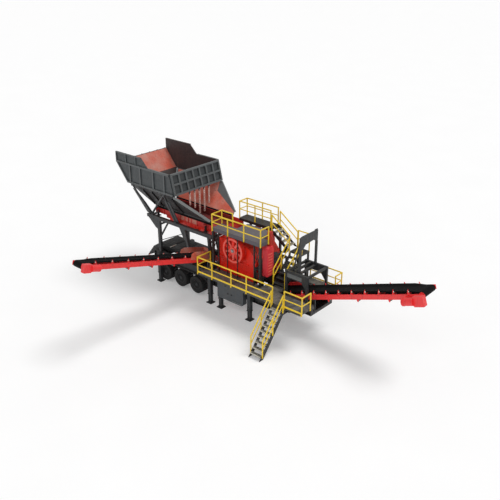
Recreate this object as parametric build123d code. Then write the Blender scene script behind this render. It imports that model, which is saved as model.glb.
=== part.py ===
"""Trailer-mounted jaw crushing plant, standing on its jack legs.

Layout frame while modelling: X runs along the trailer towards the gooseneck, Y across it
(minus Y is the walkway side with the ground stair), Z up from the ground. X is zero at the
rearmost axle and Y is zero on the trailer's centre line. The finished plant is moved so
that its origin is the middle of its base on the ground. All sizes are in millimetres.
"""
from build123d import *
import math
import os

# Clearances
SEAT = 0.3
RUN_FIT = 0.05

# Wheels and axles
AXLE_COUNT = 3
AXLE_PITCH = 1350
TYRE_RADIUS = 540
TYRE_WIDTH = 270
TYRE_GAP = 50
WHEEL_LIFT = 120
RIM_RADIUS = 300
HUB_RADIUS = 125
SPINDLE_RADIUS = 60
AXLE_SECTION = 140
AXLE_RAIL = 40
MUDGUARD_SHEET = 12

# Chassis
BEAM_SPREAD = 1150
BEAM_WIDTH = 220
WEB_THICK = 40
FLANGE_THICK = 40
CHASSIS_REAR = -950
CHASSIS_FRONT = 10870
REAR_BEAM_BOTTOM = 1360
REAR_BEAM_TOP = 1900
MID_BEAM_BOTTOM = 1100
MID_BEAM_TOP = 2100
GOOSENECK_BOTTOM = 1500
MID_START = 3700
GOOSENECK_START = 9300
NECK_SPREAD = 850
NECK_LAP = 240
STEP_RUN = 450
CROSS_SECTION = 160
KINGPIN_X = 10300
KINGPIN_RADIUS = 25.4
KINGPIN_LENGTH = 84
SKID_PLATE = 14

# Jack legs
JACK_XS = [-300, 4010, 4850, 7040]
JACK_TUBE = 220
JACK_WALL = 12
JACK_PLATE = 12
JACK_TUBE_BOTTOM = 560
JACK_FOOT = 380
JACK_FOOT_THICK = 50

# Hopper
HOPPER_HALF = 1990
HOPPER_PLATE = 40
HOPPER_RIB = 60
RIB_WIDTH = 110
HOPPER_REAR_X = -3000
HOPPER_EAR_END = -780
HOPPER_SLOPE_END = -230
HOPPER_FRONT_X = 1560
HOPPER_KNEE = 6200
HOPPER_RISE = 1220
HOPPER_EAR_RISE = 530
REAR_RIM_DROP = 80
HOPPER_RIM = HOPPER_KNEE + HOPPER_RISE
HOPPER_EAR_TOP = HOPPER_RIM + HOPPER_EAR_RISE
HOPPER_REAR_RIM = HOPPER_RIM - REAR_RIM_DROP
FRONT_WALL_FOOT_X = 1870
REAR_KNEE_X = -2070
FRONT_WALL_THICK = 110
WAFFLE_COLUMNS = 7
WAFFLE_ROWS = 2
WAFFLE_FLANGE = 110
WAFFLE_DEPTH = 80
FUNNEL_HALF = 860
FUNNEL_FOOT = 4760
FUNNEL_REAR_X = -1200
FUNNEL_PLATE = 30
CHUTE_END_X = 3800
CHUTE_END_HALF = 1010
LINER_THICK = 20

# Chain curtain
CHAIN_DROPS = [760, 1010, 1380, 1380, 1010]
CHAIN_PITCH = 390
CHAIN_LINK = 140
CHAIN_WIRE = 36
LINK_WIDTH = 120

# Vibrating feeder and its frame
FEEDER_HALF = 800
FEEDER_SHEET = 25
FEEDER_REAR = -1050
FEEDER_FRONT = 4620
FEEDER_BOTTOM = 4250
FEEDER_TOP = 4700
FEEDER_RIB_COUNT = 8
FRAME_TOP = 4170
FRAME_DEPTH = 200
FRAME_WIDTH = 180
FRAME_REAR = -1440
FRAME_FRONT = 4050
SPRING_XS = [-700, 3300]
SPRING_RADIUS = 75
SPRING_SPREAD = 955
POST_SECTION = 160
REAR_POST_X = -430
REAR_POST_WIDTH = 200
MIDDLE_POST_FOOT = 2330
MIDDLE_POST_HEAD = 1780
FRONT_POST_FOOT = 3960
FRONT_POST_HEAD = 3760
BRACE = 90
STRUT_PLATE_WIDTH = 420
STRUT_PLATE_SHIFT = 60
GUSSET_DEPTH = 670
GUSSET_RUN = 930
CROSS_BRACE_DROP = 300

# Crusher
CRUSHER_REAR = 4450
CRUSHER_FRONT = 7160
CRUSHER_HALF = 1020
CRUSHER_PLATE = 90
SKID_HALF = 1260
SKID_HEIGHT = 380
CRUSHER_TOP = 4480
MOUTH_TOP = 4200
SHAFT_X = 5780
SHAFT_Z = 3840
SHAFT_RADIUS = 110
FLYWHEEL_RADIUS = 735
FLYWHEEL_RIM = 150
FLYWHEEL_WIDTH = 230
FLYWHEEL_SPOKES = 5
FLYWHEEL_GAP = 40
JAW_THICK = 110
JAW_TEETH = 9
MOUTH_LENGTH = 800
MOUTH_HALF = 560
DISCHARGE_LENGTH = 260
MOTOR_RADIUS = 200
MOTOR_FIN = 18
MOTOR_LENGTH = 980
MOTOR_GAP = 230
MOTOR_Z = 3450
PULLEY_RADIUS = 120
STOOL_THICK = 60
COVER_GAP = 460
COVER_DEPTH = 340
COVER_NEAR = -1010
COVER_WIDTH = 520
COVER_FOOT = 2800
COVER_TOP = 4510
COVER_SLOTS = 8
DUCT_WIDTH = 230
DUCT_TOP = 5300

# Platforms and stairs
RAIL_HEIGHT = 1020
RAIL_TUBE = 50
DECK_THICK = 60
DECK_DEPTH = 150
RAIL_DROP = 75
TOE_HEIGHT = 90
UPPER_DECK = 4880
UPPER_REAR = 4330
UPPER_FRONT = 7880
UPPER_EDGE = -1500
UPPER_INNER = -660
UPPER_STEP_X = 7300
UPPER_STEP_Y = -800
UPPER_FAR = 200
MOUTH_REACH = 1050
MOUTH_RAIL = 730
FASCIA_DEPTH = 230
FASCIA_THICK = 40
UPPER_RAIL_DROP = 220
HIGH_DECK = 4900
HIGH_REAR = 4530
HIGH_FRONT = 6870
HIGH_NEAR = 560
HIGH_FAR = 1260
COLUMN = 120
LANDING_DECK = 3920
UPPER_FLIGHT_RUN = 1380
LANDING_LENGTH = 800
INNER_DECK_GAP = 1060
INNER_DECK_HALF = 710
WALK_DECK = 2345
WALK_REAR = 3990
WALK_FRONT = 11320
WALK_EDGE = -2380
WALK_BAYS = [1115, 2535, 3625]
FAR_WALK_EDGE = 1350
FAR_WALK_FRONT = 11180
STAIR_REAR = 9440
STAIR_FRONT = 10160
STAIR_FOOT_Y = -4250
TREAD_DEPTH = 220
TREAD_THICK = 40
STRINGER_DEPTH = 220
STRINGER_THICK = 20

# Conveyors
CHANNEL_DEPTH = 250
CHANNEL_WEB = 24
CHANNEL_FLANGE = 80
RETURN_RUN = 20
IDLER_HEIGHT = 60
ROLL_RADIUS = 45
BELT_THICK = 16
TROUGH_ANGLE = 18
WING_SHARE = 0.45
WING_TAPER = 700
DRUM_SHAFT = 35
MAIN_TAIL_X = 4900
MAIN_TAIL_Z = 215
MAIN_LENGTH = 12500
MAIN_ANGLE = 19.7
MAIN_BELT = 1000
MAIN_FRAME = 1300
SIDE_X = 3295
SIDE_TAIL_Y = -350
SIDE_TAIL_Z = 2220
SIDE_LENGTH = 9550
SIDE_ANGLE = 16.7
SIDE_BELT = 600
SIDE_FRAME = 850
SKIRT_START = 520
SKIRT_LENGTH = 1880
SKIRT_HEIGHT = 330

# Portal over the main conveyor
PORTAL_REAR = 9080
PORTAL_FRONT = 10550
PORTAL_TOP = 3590
PORTAL_DEPTH = 440
GANTRY_X = 9860
GANTRY_HALF = 695
GANTRY_RISE = 1980
GANTRY_LEG = 110

# Housings
PACK_HALF = 790
PACK_FRONT = 2000
PACK_HEIGHT = 250
PACK_TAIL = 290
VISOR_REACH = 1230
TANK_REAR = 4740
TANK_LENGTH = 1960
TANK_BOTTOM = 740
TANK_TOP = 1690
TANK_REACH = 300
TANK_PANEL = 60
TANK_CORNER = 180


def block(x0, x1, y0, y1, z0, z1):
    """Box between two opposite corners."""
    size = Box(abs(x1 - x0), abs(y1 - y0), abs(z1 - z0))
    return Pos((x0 + x1) / 2, (y0 + y1) / 2, (z0 + z1) / 2) * size


def bar(start, end, width, depth=None):
    """Straight bar of rectangular section between two points."""
    a = Vector(*start)
    b = Vector(*end)
    run = b - a
    side = Vector(0, 0, 1).cross(run)
    if side.length < 1e-6:
        side = Vector(0, 1, 0)
    frame = Plane(origin=(a + b) * 0.5, x_dir=side, z_dir=run)
    return frame * Box(width, depth or width, run.length)


def along_y(points, y0, y1):
    """Outline of (x, z) points drawn out from y0 to y1."""
    face = make_face(Polyline(*[(x, y0, z) for x, z in points], close=True))
    return extrude(face, amount=y1 - y0, dir=(0, 1, 0))


def along_x(points, x0, x1):
    """Outline of (y, z) points drawn out from x0 to x1."""
    face = make_face(Polyline(*[(x0, y, z) for y, z in points], close=True))
    return extrude(face, amount=x1 - x0, dir=(1, 0, 0))


def along_z(points, z0, z1):
    """Outline of (x, y) points drawn out from z0 to z1."""
    face = make_face(Polyline(*[(x, y, z0) for x, y in points], close=True))
    return extrude(face, amount=z1 - z0, dir=(0, 0, 1))


def rod_y(x, z, radius, y0, y1):
    """Round bar along Y."""
    return Pos(x, (y0 + y1) / 2, z) * Rot(90, 0, 0) * Cylinder(radius, abs(y1 - y0))


def across(shape):
    """The same piece on the other side of the centre line."""
    return mirror(shape, about=Plane.XZ)


def joined(shapes):
    """Pieces that overlap or touch, welded into one."""
    shapes = list(shapes)
    whole = shapes[0]
    if len(shapes) > 1:
        whole = whole.fuse(*shapes[1:])
    return whole


def loose(shapes):
    """Pieces of one node that stay separate solids."""
    return Compound(children=[solid for shape in shapes for solid in shape.solids()])


def girder(outline, spread):
    """Near plate girder with top and bottom flanges, its web on the given line."""
    outer = -spread - BEAM_WIDTH / 2
    solid = along_y(outline, outer, outer + BEAM_WIDTH)
    face = make_face(Polyline(*[(x, 0, z) for x, z in outline], close=True))
    pocket_face = offset(face, -FLANGE_THICK, kind=Kind.INTERSECTION)
    pocket = extrude(pocket_face, amount=(BEAM_WIDTH - WEB_THICK) / 2, dir=(0, 1, 0))
    solid -= Pos(0, outer, 0) * pocket
    return solid - Pos(0, -spread + WEB_THICK / 2, 0) * pocket


def chassis_beam():
    """Near main beam: low over the wheels, deep in the middle, narrowed in the gooseneck."""
    main_run = [
        (CHASSIS_REAR, REAR_BEAM_BOTTOM),
        (MID_START - STEP_RUN, REAR_BEAM_BOTTOM),
        (MID_START, MID_BEAM_BOTTOM),
        (GOOSENECK_START, MID_BEAM_BOTTOM),
        (GOOSENECK_START, MID_BEAM_TOP),
        (MID_START, MID_BEAM_TOP),
        (MID_START, REAR_BEAM_TOP),
        (CHASSIS_REAR, REAR_BEAM_TOP),
    ]
    lap = GOOSENECK_START - NECK_LAP
    neck_run = [
        (lap, MID_BEAM_BOTTOM),
        (GOOSENECK_START, MID_BEAM_BOTTOM),
        (GOOSENECK_START + STEP_RUN, GOOSENECK_BOTTOM),
        (CHASSIS_FRONT, GOOSENECK_BOTTOM),
        (CHASSIS_FRONT, MID_BEAM_TOP),
        (lap, MID_BEAM_TOP),
    ]
    outer = -BEAM_SPREAD - BEAM_WIDTH / 2
    inner = -NECK_SPREAD + BEAM_WIDTH / 2
    knuckle = block(lap, GOOSENECK_START, outer, inner, MID_BEAM_BOTTOM, MID_BEAM_TOP)
    return joined([girder(main_run, BEAM_SPREAD), knuckle, girder(neck_run, NECK_SPREAD)])


def beam_line(x):
    """Distance of the main beam's web from the centre line at a place along the trailer."""
    return BEAM_SPREAD if x < GOOSENECK_START else NECK_SPREAD


def conveyor_underside(x):
    """Height of the main conveyor's frame above a point of the centre line."""
    return MAIN_TAIL_Z + (x - MAIN_TAIL_X) * math.tan(math.radians(MAIN_ANGLE))


def crossmembers():
    """Tubes between the main beams, the fifth-wheel plate and the conveyor saddles."""
    half = CROSS_SECTION / 2
    inner = BEAM_SPREAD - BEAM_WIDTH / 2
    neck_inner = NECK_SPREAD - BEAM_WIDTH / 2
    pieces = []
    for x in (CHASSIS_REAR + half, AXLE_PITCH / 2, AXLE_PITCH * 1.5, AXLE_PITCH * 2.5 - half):
        top = REAR_BEAM_TOP
        pieces.append(block(x - half, x + half, -inner, inner, top - 2 * half, top))
    for x in (CRUSHER_REAR - half, GOOSENECK_START - NECK_LAP - CROSS_SECTION):
        low = MID_BEAM_BOTTOM
        pieces.append(block(x - half, x + half, -inner, inner, low, low + 2 * half))
    for x in (GOOSENECK_START + STEP_RUN + half, CHASSIS_FRONT - half):
        low = GOOSENECK_BOTTOM
        tie = block(x - half, x + half, -neck_inner, neck_inner, low, low + 2 * half)
        saddle_half = MAIN_FRAME / 2 - CHANNEL_FLANGE / 2
        for y in (-saddle_half, saddle_half):
            outline = [
                (x - half, low + 2 * half),
                (x + half, low + 2 * half),
                (x + half, conveyor_underside(x + half) - SEAT),
                (x - half, conveyor_underside(x - half) - SEAT),
            ]
            tie += along_y(outline, y - CHANNEL_FLANGE / 2, y + CHANNEL_FLANGE / 2)
        pieces.append(tie)
    return loose(pieces)


def kingpin_plate():
    """Rubbing plate under the gooseneck with its kingpin."""
    outer = NECK_SPREAD + BEAM_WIDTH / 2
    start = GOOSENECK_START + STEP_RUN
    plate = block(start, CHASSIS_FRONT, -outer, outer, GOOSENECK_BOTTOM - SKID_PLATE, GOOSENECK_BOTTOM)
    pin = Pos(KINGPIN_X, 0, GOOSENECK_BOTTOM - SKID_PLATE - KINGPIN_LENGTH / 2)
    return plate + pin * Cylinder(KINGPIN_RADIUS, KINGPIN_LENGTH)


def hub_z():
    """Height of the axle centres with the plant jacked up."""
    return WHEEL_LIFT + TYRE_RADIUS


def wheel_outer():
    """Distance of the outer tyre wall from the centre line."""
    return BEAM_SPREAD + BEAM_WIDTH / 2


def wheel_inner():
    """Distance of the inner tyre wall from the centre line."""
    return wheel_outer() - 2 * TYRE_WIDTH - TYRE_GAP


def axles():
    """Axle beams with spindles and the hanger brackets that carry them."""
    pieces = []
    half = AXLE_SECTION / 2
    hanger_y = wheel_inner() - AXLE_SECTION
    for i in range(AXLE_COUNT):
        x = i * AXLE_PITCH
        reach = wheel_inner() - 12
        axle = block(x - half, x + half, -reach, reach, hub_z() - half, hub_z() + half)
        axle += rod_y(x, hub_z(), SPINDLE_RADIUS, -wheel_outer() + 180, wheel_outer() - 180)
        for y in (-hanger_y, hanger_y):
            hanger = block(x - half, x + half, y - half, y + half, hub_z() + half, REAR_BEAM_BOTTOM)
            axle += hanger
        low = REAR_BEAM_BOTTOM - AXLE_RAIL
        rail = block(x - half, x + half, -BEAM_SPREAD, BEAM_SPREAD, low, REAR_BEAM_BOTTOM)
        pieces.append(axle + rail)
    return loose(pieces)


def wheel(index, side):
    """Dual wheel: two tyres on one dished rim, with the hub bored for the spindle."""
    width = 2 * TYRE_WIDTH + TYRE_GAP
    shoulder = 45
    web = width / 2
    bore = SPINDLE_RADIUS + RUN_FIT
    cap = width - 170
    outline = [
        (bore, 20),
        (HUB_RADIUS, 20),
        (HUB_RADIUS, web - 15),
        (RIM_RADIUS, web - 15),
        (RIM_RADIUS, 0),
        (TYRE_RADIUS - shoulder, 0),
        (TYRE_RADIUS, shoulder),
        (TYRE_RADIUS, TYRE_WIDTH),
        (RIM_RADIUS + 60, TYRE_WIDTH),
        (RIM_RADIUS + 60, TYRE_WIDTH + TYRE_GAP),
        (TYRE_RADIUS, TYRE_WIDTH + TYRE_GAP),
        (TYRE_RADIUS, width - shoulder),
        (TYRE_RADIUS - shoulder, width),
        (RIM_RADIUS, width),
        (RIM_RADIUS, web + 15),
        (HUB_RADIUS, web + 15),
        (HUB_RADIUS, cap + 40),
        (0, cap + 40),
        (0, cap - 5),
        (bore, cap - 5),
    ]
    face = make_face(Polyline(*[(r, 0, w) for r, w in outline], close=True))
    turned = revolve(face, axis=Axis.Z)
    placed = Pos(index * AXLE_PITCH, -wheel_inner(), hub_z()) * Rot(90, 0, 0) * turned
    return placed if side < 0 else across(placed)


def mudguards():
    """Rolled guards over each dual wheel, bolted up under the main beams."""
    pieces = []
    inside = REAR_BEAM_BOTTOM - AXLE_RAIL - SEAT - MUDGUARD_SHEET - hub_z()
    for side in (-1, 1):
        for i in range(AXLE_COUNT):
            hub = Pos(i * AXLE_PITCH, 0, hub_z())
            ring = Rot(90, 0, 0) * (
                Cylinder(inside + MUDGUARD_SHEET, 600) - Cylinder(inside, 600)
            )
            keep = Pos(0, 0, inside * 0.86) * Box(AXLE_PITCH - 60, 600, inside * 0.45)
            guard = hub * (ring & keep)
            y = side * (wheel_outer() - 300)
            pieces.append(Pos(0, y, 0) * guard)
    return loose(pieces)


def jack_line():
    """Distance of the jack legs' centres from the centre line."""
    return BEAM_SPREAD + BEAM_WIDTH / 2 + JACK_PLATE + JACK_TUBE / 2


def jack_tubes():
    """Square outer tubes of the jack legs, each on a plate on the outside of its main beam."""
    pieces = []
    for x in JACK_XS:
        over_wheels = x < MID_START
        top = (REAR_BEAM_TOP if over_wheels else MID_BEAM_TOP) - FLANGE_THICK
        low = (REAR_BEAM_BOTTOM if over_wheels else MID_BEAM_BOTTOM) + FLANGE_THICK
        half = JACK_TUBE / 2
        bore = half - JACK_WALL
        tube = block(x - half, x + half, -half, half, JACK_TUBE_BOTTOM, top)
        tube -= block(x - bore, x + bore, -bore, bore, JACK_TUBE_BOTTOM, top - JACK_WALL)
        tube += block(x - half * 1.4, x + half * 1.4, half, half + JACK_PLATE - SEAT, low, top)
        near = Pos(0, -jack_line(), 0) * tube
        pieces += [near, across(near)]
    return loose(pieces)


def jack_legs():
    """Inner legs with their foot plates on the ground."""
    pieces = []
    half = JACK_TUBE / 2 - JACK_WALL - SEAT
    foot = JACK_FOOT / 2
    for x in JACK_XS:
        leg = block(x - half, x + half, -half, half, JACK_FOOT_THICK, JACK_TUBE_BOTTOM + 300)
        leg += block(x - foot, x + foot, -foot, foot, 0, JACK_FOOT_THICK)
        for sx in (-1, 1):
            rib = [
                (x + sx * half, JACK_FOOT_THICK),
                (x + sx * (foot - 20), JACK_FOOT_THICK),
                (x + sx * half, JACK_FOOT_THICK + 130),
            ]
            leg += along_y(rib, -10, 10)
        pieces += [Pos(0, -jack_line(), 0) * leg, Pos(0, jack_line(), 0) * leg]
    return loose(pieces)


def hopper_side():
    """Near side wall with its raised rear ear, stiffening ribs and flanges outside."""
    outline = [
        (HOPPER_REAR_X, HOPPER_EAR_TOP),
        (HOPPER_EAR_END, HOPPER_EAR_TOP),
        (HOPPER_SLOPE_END, HOPPER_RIM),
        (HOPPER_FRONT_X, HOPPER_RIM),
        (FRONT_WALL_FOOT_X, HOPPER_KNEE),
        (REAR_KNEE_X, HOPPER_KNEE),
        (HOPPER_REAR_X, HOPPER_REAR_RIM),
    ]
    wall = along_y(outline, -HOPPER_HALF, -HOPPER_HALF + HOPPER_PLATE)
    out = -HOPPER_HALF - HOPPER_RIB
    mid = HOPPER_RIM - RIB_WIDTH
    ribs = [
        block(HOPPER_REAR_X, HOPPER_EAR_END, out, -HOPPER_HALF, HOPPER_EAR_TOP - 50, HOPPER_EAR_TOP),
        block(HOPPER_REAR_X, HOPPER_FRONT_X, out, -HOPPER_HALF, mid, HOPPER_RIM),
        block(REAR_KNEE_X, FRONT_WALL_FOOT_X - 20, out, -HOPPER_HALF, HOPPER_KNEE, HOPPER_KNEE + RIB_WIDTH),
    ]
    for x in (HOPPER_REAR_X, -2120, -1250):
        ribs.append(block(x, x + RIB_WIDTH / 2, out, -HOPPER_HALF, mid, HOPPER_EAR_TOP))
    for x in (-1730, -830, 300, 1230):
        ribs.append(block(x - RIB_WIDTH, x, out, -HOPPER_HALF, HOPPER_KNEE, mid))
    slope = [
        (HOPPER_REAR_X, HOPPER_REAR_RIM),
        (HOPPER_REAR_X + RIB_WIDTH, HOPPER_REAR_RIM),
        (REAR_KNEE_X + RIB_WIDTH, HOPPER_KNEE),
        (REAR_KNEE_X, HOPPER_KNEE),
    ]
    ribs.append(along_y(slope, out, -HOPPER_HALF))
    return joined([wall] + ribs)


def front_wall():
    """Front wall leaning outwards, a waffle of square pockets between its flanges."""
    run = FRONT_WALL_FOOT_X - HOPPER_FRONT_X
    drop = HOPPER_RIM - HOPPER_KNEE
    length = math.hypot(run, drop)
    half = HOPPER_HALF - HOPPER_PLATE - SEAT
    slab = Pos(FRONT_WALL_THICK / 2, 0, -length / 2) * Box(FRONT_WALL_THICK, 2 * half, length)
    pocket_w = (2 * half - (WAFFLE_COLUMNS + 1) * WAFFLE_FLANGE) / WAFFLE_COLUMNS
    pocket_h = (length - (WAFFLE_ROWS + 1) * WAFFLE_FLANGE) / WAFFLE_ROWS
    for column in range(WAFFLE_COLUMNS):
        y = -half + WAFFLE_FLANGE + pocket_w / 2 + column * (pocket_w + WAFFLE_FLANGE)
        for row in range(WAFFLE_ROWS):
            z = -(WAFFLE_FLANGE + pocket_h / 2 + row * (pocket_h + WAFFLE_FLANGE))
            pocket = Pos(FRONT_WALL_THICK - WAFFLE_DEPTH / 2, y, z)
            slab -= pocket * Box(WAFFLE_DEPTH, pocket_w, pocket_h)
    lean = math.degrees(math.atan2(run, drop))
    wall = Pos(HOPPER_FRONT_X, 0, HOPPER_RIM) * Rot(0, -lean, 0) * slab
    cheek = CHAIN_WIRE / 2 + 5
    pin = CHAIN_WIRE * 0.46
    for x, y, z in chain_heads():
        for side in (-1, 1):
            inner, outer = y + side * cheek, y + side * (cheek + 16)
            wall += block(x - 40, x + 25, inner, outer, z - 40, z + CHAIN_LINK * 1.1)
        wall += rod_y(x, z - pin - SEAT, pin, y - cheek - 4, y + cheek + 4)
    return wall


def chain_heads():
    """Top of the hole in each chain's first link, just ahead of the front wall's foot."""
    count = len(CHAIN_DROPS)
    x = FRONT_WALL_FOOT_X + FRONT_WALL_THICK * 0.6
    z = HOPPER_KNEE - 90
    return [(x, (i - (count - 1) / 2) * CHAIN_PITCH, z) for i in range(count)]


def chain_link():
    """One flat-sided link, long way up, with its middle at the origin."""
    outer = CHAIN_LINK / 2 + CHAIN_WIRE
    corner = LINK_WIDTH * 0.3
    side = LINK_WIDTH / 2
    ring = [
        (side, outer - corner),
        (side - corner, outer),
        (corner - side, outer),
        (-side, outer - corner),
        (-side, corner - outer),
        (corner - side, -outer),
        (side - corner, -outer),
        (side, corner - outer),
    ]
    hole = [
        (side - CHAIN_WIRE, CHAIN_LINK / 2),
        (CHAIN_WIRE - side, CHAIN_LINK / 2),
        (CHAIN_WIRE - side, -CHAIN_LINK / 2),
        (side - CHAIN_WIRE, -CHAIN_LINK / 2),
    ]
    body = along_y(ring, -CHAIN_WIRE / 2, CHAIN_WIRE / 2)
    return body - along_y(hole, -CHAIN_WIRE / 2, CHAIN_WIRE / 2)


def chain_curtain():
    """Five chains of crossed links hanging from the front wall's eyes."""
    link = chain_link()
    pitch = CHAIN_LINK - SEAT
    pieces = []
    for (x, y, z), drop in zip(chain_heads(), CHAIN_DROPS):
        for i in range(round(drop / pitch)):
            turn = Rot(0, 0, 90 * (i % 2))
            pieces.append(Pos(x, y, z - (i + 0.5) * pitch) * turn * link)
    return loose(pieces)


def rear_wall():
    """Sloping rear wall and the tapered plate that carries it down to the feeder."""
    half = HOPPER_HALF - HOPPER_PLATE - SEAT
    plate = HOPPER_PLATE
    upper = [
        (HOPPER_REAR_X, HOPPER_REAR_RIM),
        (REAR_KNEE_X, HOPPER_KNEE),
        (REAR_KNEE_X + plate, HOPPER_KNEE),
        (HOPPER_REAR_X + plate, HOPPER_REAR_RIM),
    ]
    slope = along_y(upper, -half, half)
    rib_back = [(x - 2 * plate, z) for x, z in upper]
    rib = [rib_back[0], rib_back[1], upper[1], upper[0]]
    for i in range(7):
        y = (i - 3) * half * 0.32
        slope += along_y(rib, y - 25, y + 25)
    corners = [
        (REAR_KNEE_X, -half, HOPPER_KNEE),
        (REAR_KNEE_X, half, HOPPER_KNEE),
        (FUNNEL_REAR_X, FUNNEL_HALF, FUNNEL_FOOT),
        (FUNNEL_REAR_X, -FUNNEL_HALF, FUNNEL_FOOT),
    ]
    lower = make_face(Polyline(*corners, close=True))
    return slope + extrude(lower, amount=plate, dir=(1, 0, 0))


def funnel_plane():
    """Plane of the near funnel side: X along the trailer, Y up the slope from its foot."""
    rise = HOPPER_KNEE - FUNNEL_FOOT
    spread = HOPPER_HALF - HOPPER_PLATE - FUNNEL_HALF
    length = math.hypot(rise, spread)
    up = Vector(0, -spread / length, rise / length)
    return Plane(origin=(0, -FUNNEL_HALF, FUNNEL_FOOT), x_dir=(1, 0, 0), z_dir=Vector(1, 0, 0).cross(up))


def funnel_length():
    """Slope length of the funnel side from its foot to the knee."""
    rise = HOPPER_KNEE - FUNNEL_FOOT
    spread = HOPPER_HALF - HOPPER_PLATE - FUNNEL_HALF
    return math.hypot(rise, spread)


def funnel_side():
    """Near funnel side with the chute that tapers on to the crusher, stiffened outside."""
    length = funnel_length()
    end = length * (CHUTE_END_HALF - FUNNEL_HALF) / (HOPPER_HALF - HOPPER_PLATE - FUNNEL_HALF)
    clear = HOPPER_PLATE * 2
    outline = [
        (FUNNEL_REAR_X + clear, 0),
        (CHUTE_END_X, 0),
        (CHUTE_END_X, end),
        (FRONT_WALL_FOOT_X - clear / 2, length - SEAT),
        (REAR_KNEE_X + clear, length - SEAT),
    ]
    plane = funnel_plane()
    face = make_face(Polyline(*outline, close=True))
    sheet = plane * extrude(face, amount=-FUNNEL_PLATE)
    ribs = []
    for x in (-1000, -200, 600, 1500):
        ribs.append(plane * Pos(x, length * 0.44, 35) * Box(60, length * 0.8, 70))
    rim = bar((FRONT_WALL_FOOT_X, length - 60, 30), (CHUTE_END_X - 40, end - 20, 30), 80, 60)
    ribs.append(plane * rim)
    foot_length = CHUTE_END_X - FUNNEL_REAR_X - 240
    foot_x = (CHUTE_END_X + FUNNEL_REAR_X) / 2 + 60
    ribs.append(plane * Pos(foot_x, 60, 25) * Box(foot_length, 60, 50))
    return joined([sheet] + ribs)


def liners():
    """Wear plates: on the sloping rear wall and along both funnel sides."""
    half = HOPPER_HALF - HOPPER_PLATE - 40
    face = HOPPER_PLATE + SEAT
    gap = 60
    slope = (REAR_KNEE_X - HOPPER_REAR_X) / (HOPPER_KNEE - HOPPER_REAR_RIM)
    top = HOPPER_REAR_RIM - 20
    low = HOPPER_KNEE + gap
    rear = [
        (HOPPER_REAR_X + face + slope * (top - HOPPER_REAR_RIM), top),
        (HOPPER_REAR_X + face + slope * (low - HOPPER_REAR_RIM), low),
        (HOPPER_REAR_X + face + LINER_THICK + slope * (low - HOPPER_REAR_RIM), low),
        (HOPPER_REAR_X + face + LINER_THICK + slope * (top - HOPPER_REAR_RIM), top),
    ]
    pieces = [along_y(rear, -half, half)]
    length = funnel_length()
    outline = [
        (FUNNEL_REAR_X + 400, 30),
        (CHUTE_END_X - 20, 30),
        (CHUTE_END_X - 20, length * 0.11),
        (FRONT_WALL_FOOT_X + gap, length * 0.62),
        (FRONT_WALL_FOOT_X - gap, length - gap),
        (REAR_KNEE_X + 4 * gap, length - gap),
    ]
    sheet = extrude(make_face(Polyline(*outline, close=True)), amount=-LINER_THICK)
    side = funnel_plane() * Pos(0, 0, -FUNNEL_PLATE - SEAT) * sheet
    pieces += [side, across(side)]
    return loose(pieces)


def feeder_pan():
    """Open trough of the vibrating feeder with ribbed sides and spring brackets."""
    outer = FEEDER_HALF
    pan = block(FEEDER_REAR, FEEDER_FRONT, -outer, outer, FEEDER_BOTTOM, FEEDER_TOP)
    hollow = outer - FEEDER_SHEET
    pan -= block(FEEDER_REAR + FEEDER_SHEET, FEEDER_FRONT, -hollow, hollow, FEEDER_BOTTOM + 80, FEEDER_TOP)
    pitch = (FEEDER_FRONT - FEEDER_REAR) / FEEDER_RIB_COUNT
    ribs = []
    for side in (-1, 1):
        for i in range(FEEDER_RIB_COUNT + 1):
            x = FEEDER_REAR + 20 + i * (pitch - 5)
            rib_out = side * (outer + 45)
            ribs.append(block(x - 20, x + 20, side * outer, rib_out, FEEDER_BOTTOM, FEEDER_TOP - 50))
        top = FEEDER_TOP
        ribs.append(block(FEEDER_REAR, FEEDER_FRONT, side * outer, side * (outer + 50), top - 50, top))
        for x in SPRING_XS:
            y = side * SPRING_SPREAD
            bracket = block(x - 130, x + 130, side * outer, y + side * 110, FEEDER_TOP - 120, FEEDER_TOP - 90)
            ribs.append(bracket)
    return joined([pan] + ribs)


def feeder_springs():
    """Coil spring packs between the frame and the feeder's brackets."""
    pieces = []
    low = FRAME_TOP
    high = FEEDER_TOP - 120
    height = high - low
    for x in SPRING_XS:
        for side in (-1, 1):
            y = side * SPRING_SPREAD
            core = Cylinder(SPRING_RADIUS * 0.62, height)
            for i in range(4):
                core += Pos(0, 0, -height / 2 + height * (i + 0.5) / 4) * Cylinder(SPRING_RADIUS, height / 8)
            pieces.append(Pos(x, y, (low + high) / 2) * core)
    return loose(pieces)


def feeder_exciter():
    """Twin vibrator motors slung under the rear of the feeder."""
    pieces = []
    top = FEEDER_BOTTOM
    for side in (-1, 1):
        y = side * 350
        body = Pos(-150, y, top - 230) * Rot(0, 90, 0) * Cylinder(170, 620)
        body += block(-420, 120, y - 140, y + 140, top - 130, top)
        pieces.append(body)
    return loose(pieces)


def feeder_frame():
    """Two long beams and the cross beams under the feeder."""
    beam_y = BEAM_SPREAD
    half = FRAME_WIDTH / 2
    low = FRAME_TOP - FRAME_DEPTH
    pieces = []
    for side in (-1, 1):
        y = side * beam_y
        pieces.append(block(FRAME_REAR, FRAME_FRONT, y - half, y + half, low, FRAME_TOP))
        for x in SPRING_XS:
            inner = side * (SPRING_SPREAD - 130)
            shelf = block(x - 130, x + 130, inner, y - side * half, FRAME_TOP - 40, FRAME_TOP)
            pieces.append(shelf)
    reach = beam_y - half
    for x in (FRAME_REAR + 100, 900, 2500, FRAME_FRONT - 80):
        pieces.append(block(x - 80, x + 80, -reach, reach, low, FRAME_TOP - 120))
    return joined(pieces)


def post_foot(x):
    """Top of the chassis beam under a feeder post."""
    return REAR_BEAM_TOP if x < MID_START else MID_BEAM_TOP


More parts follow.
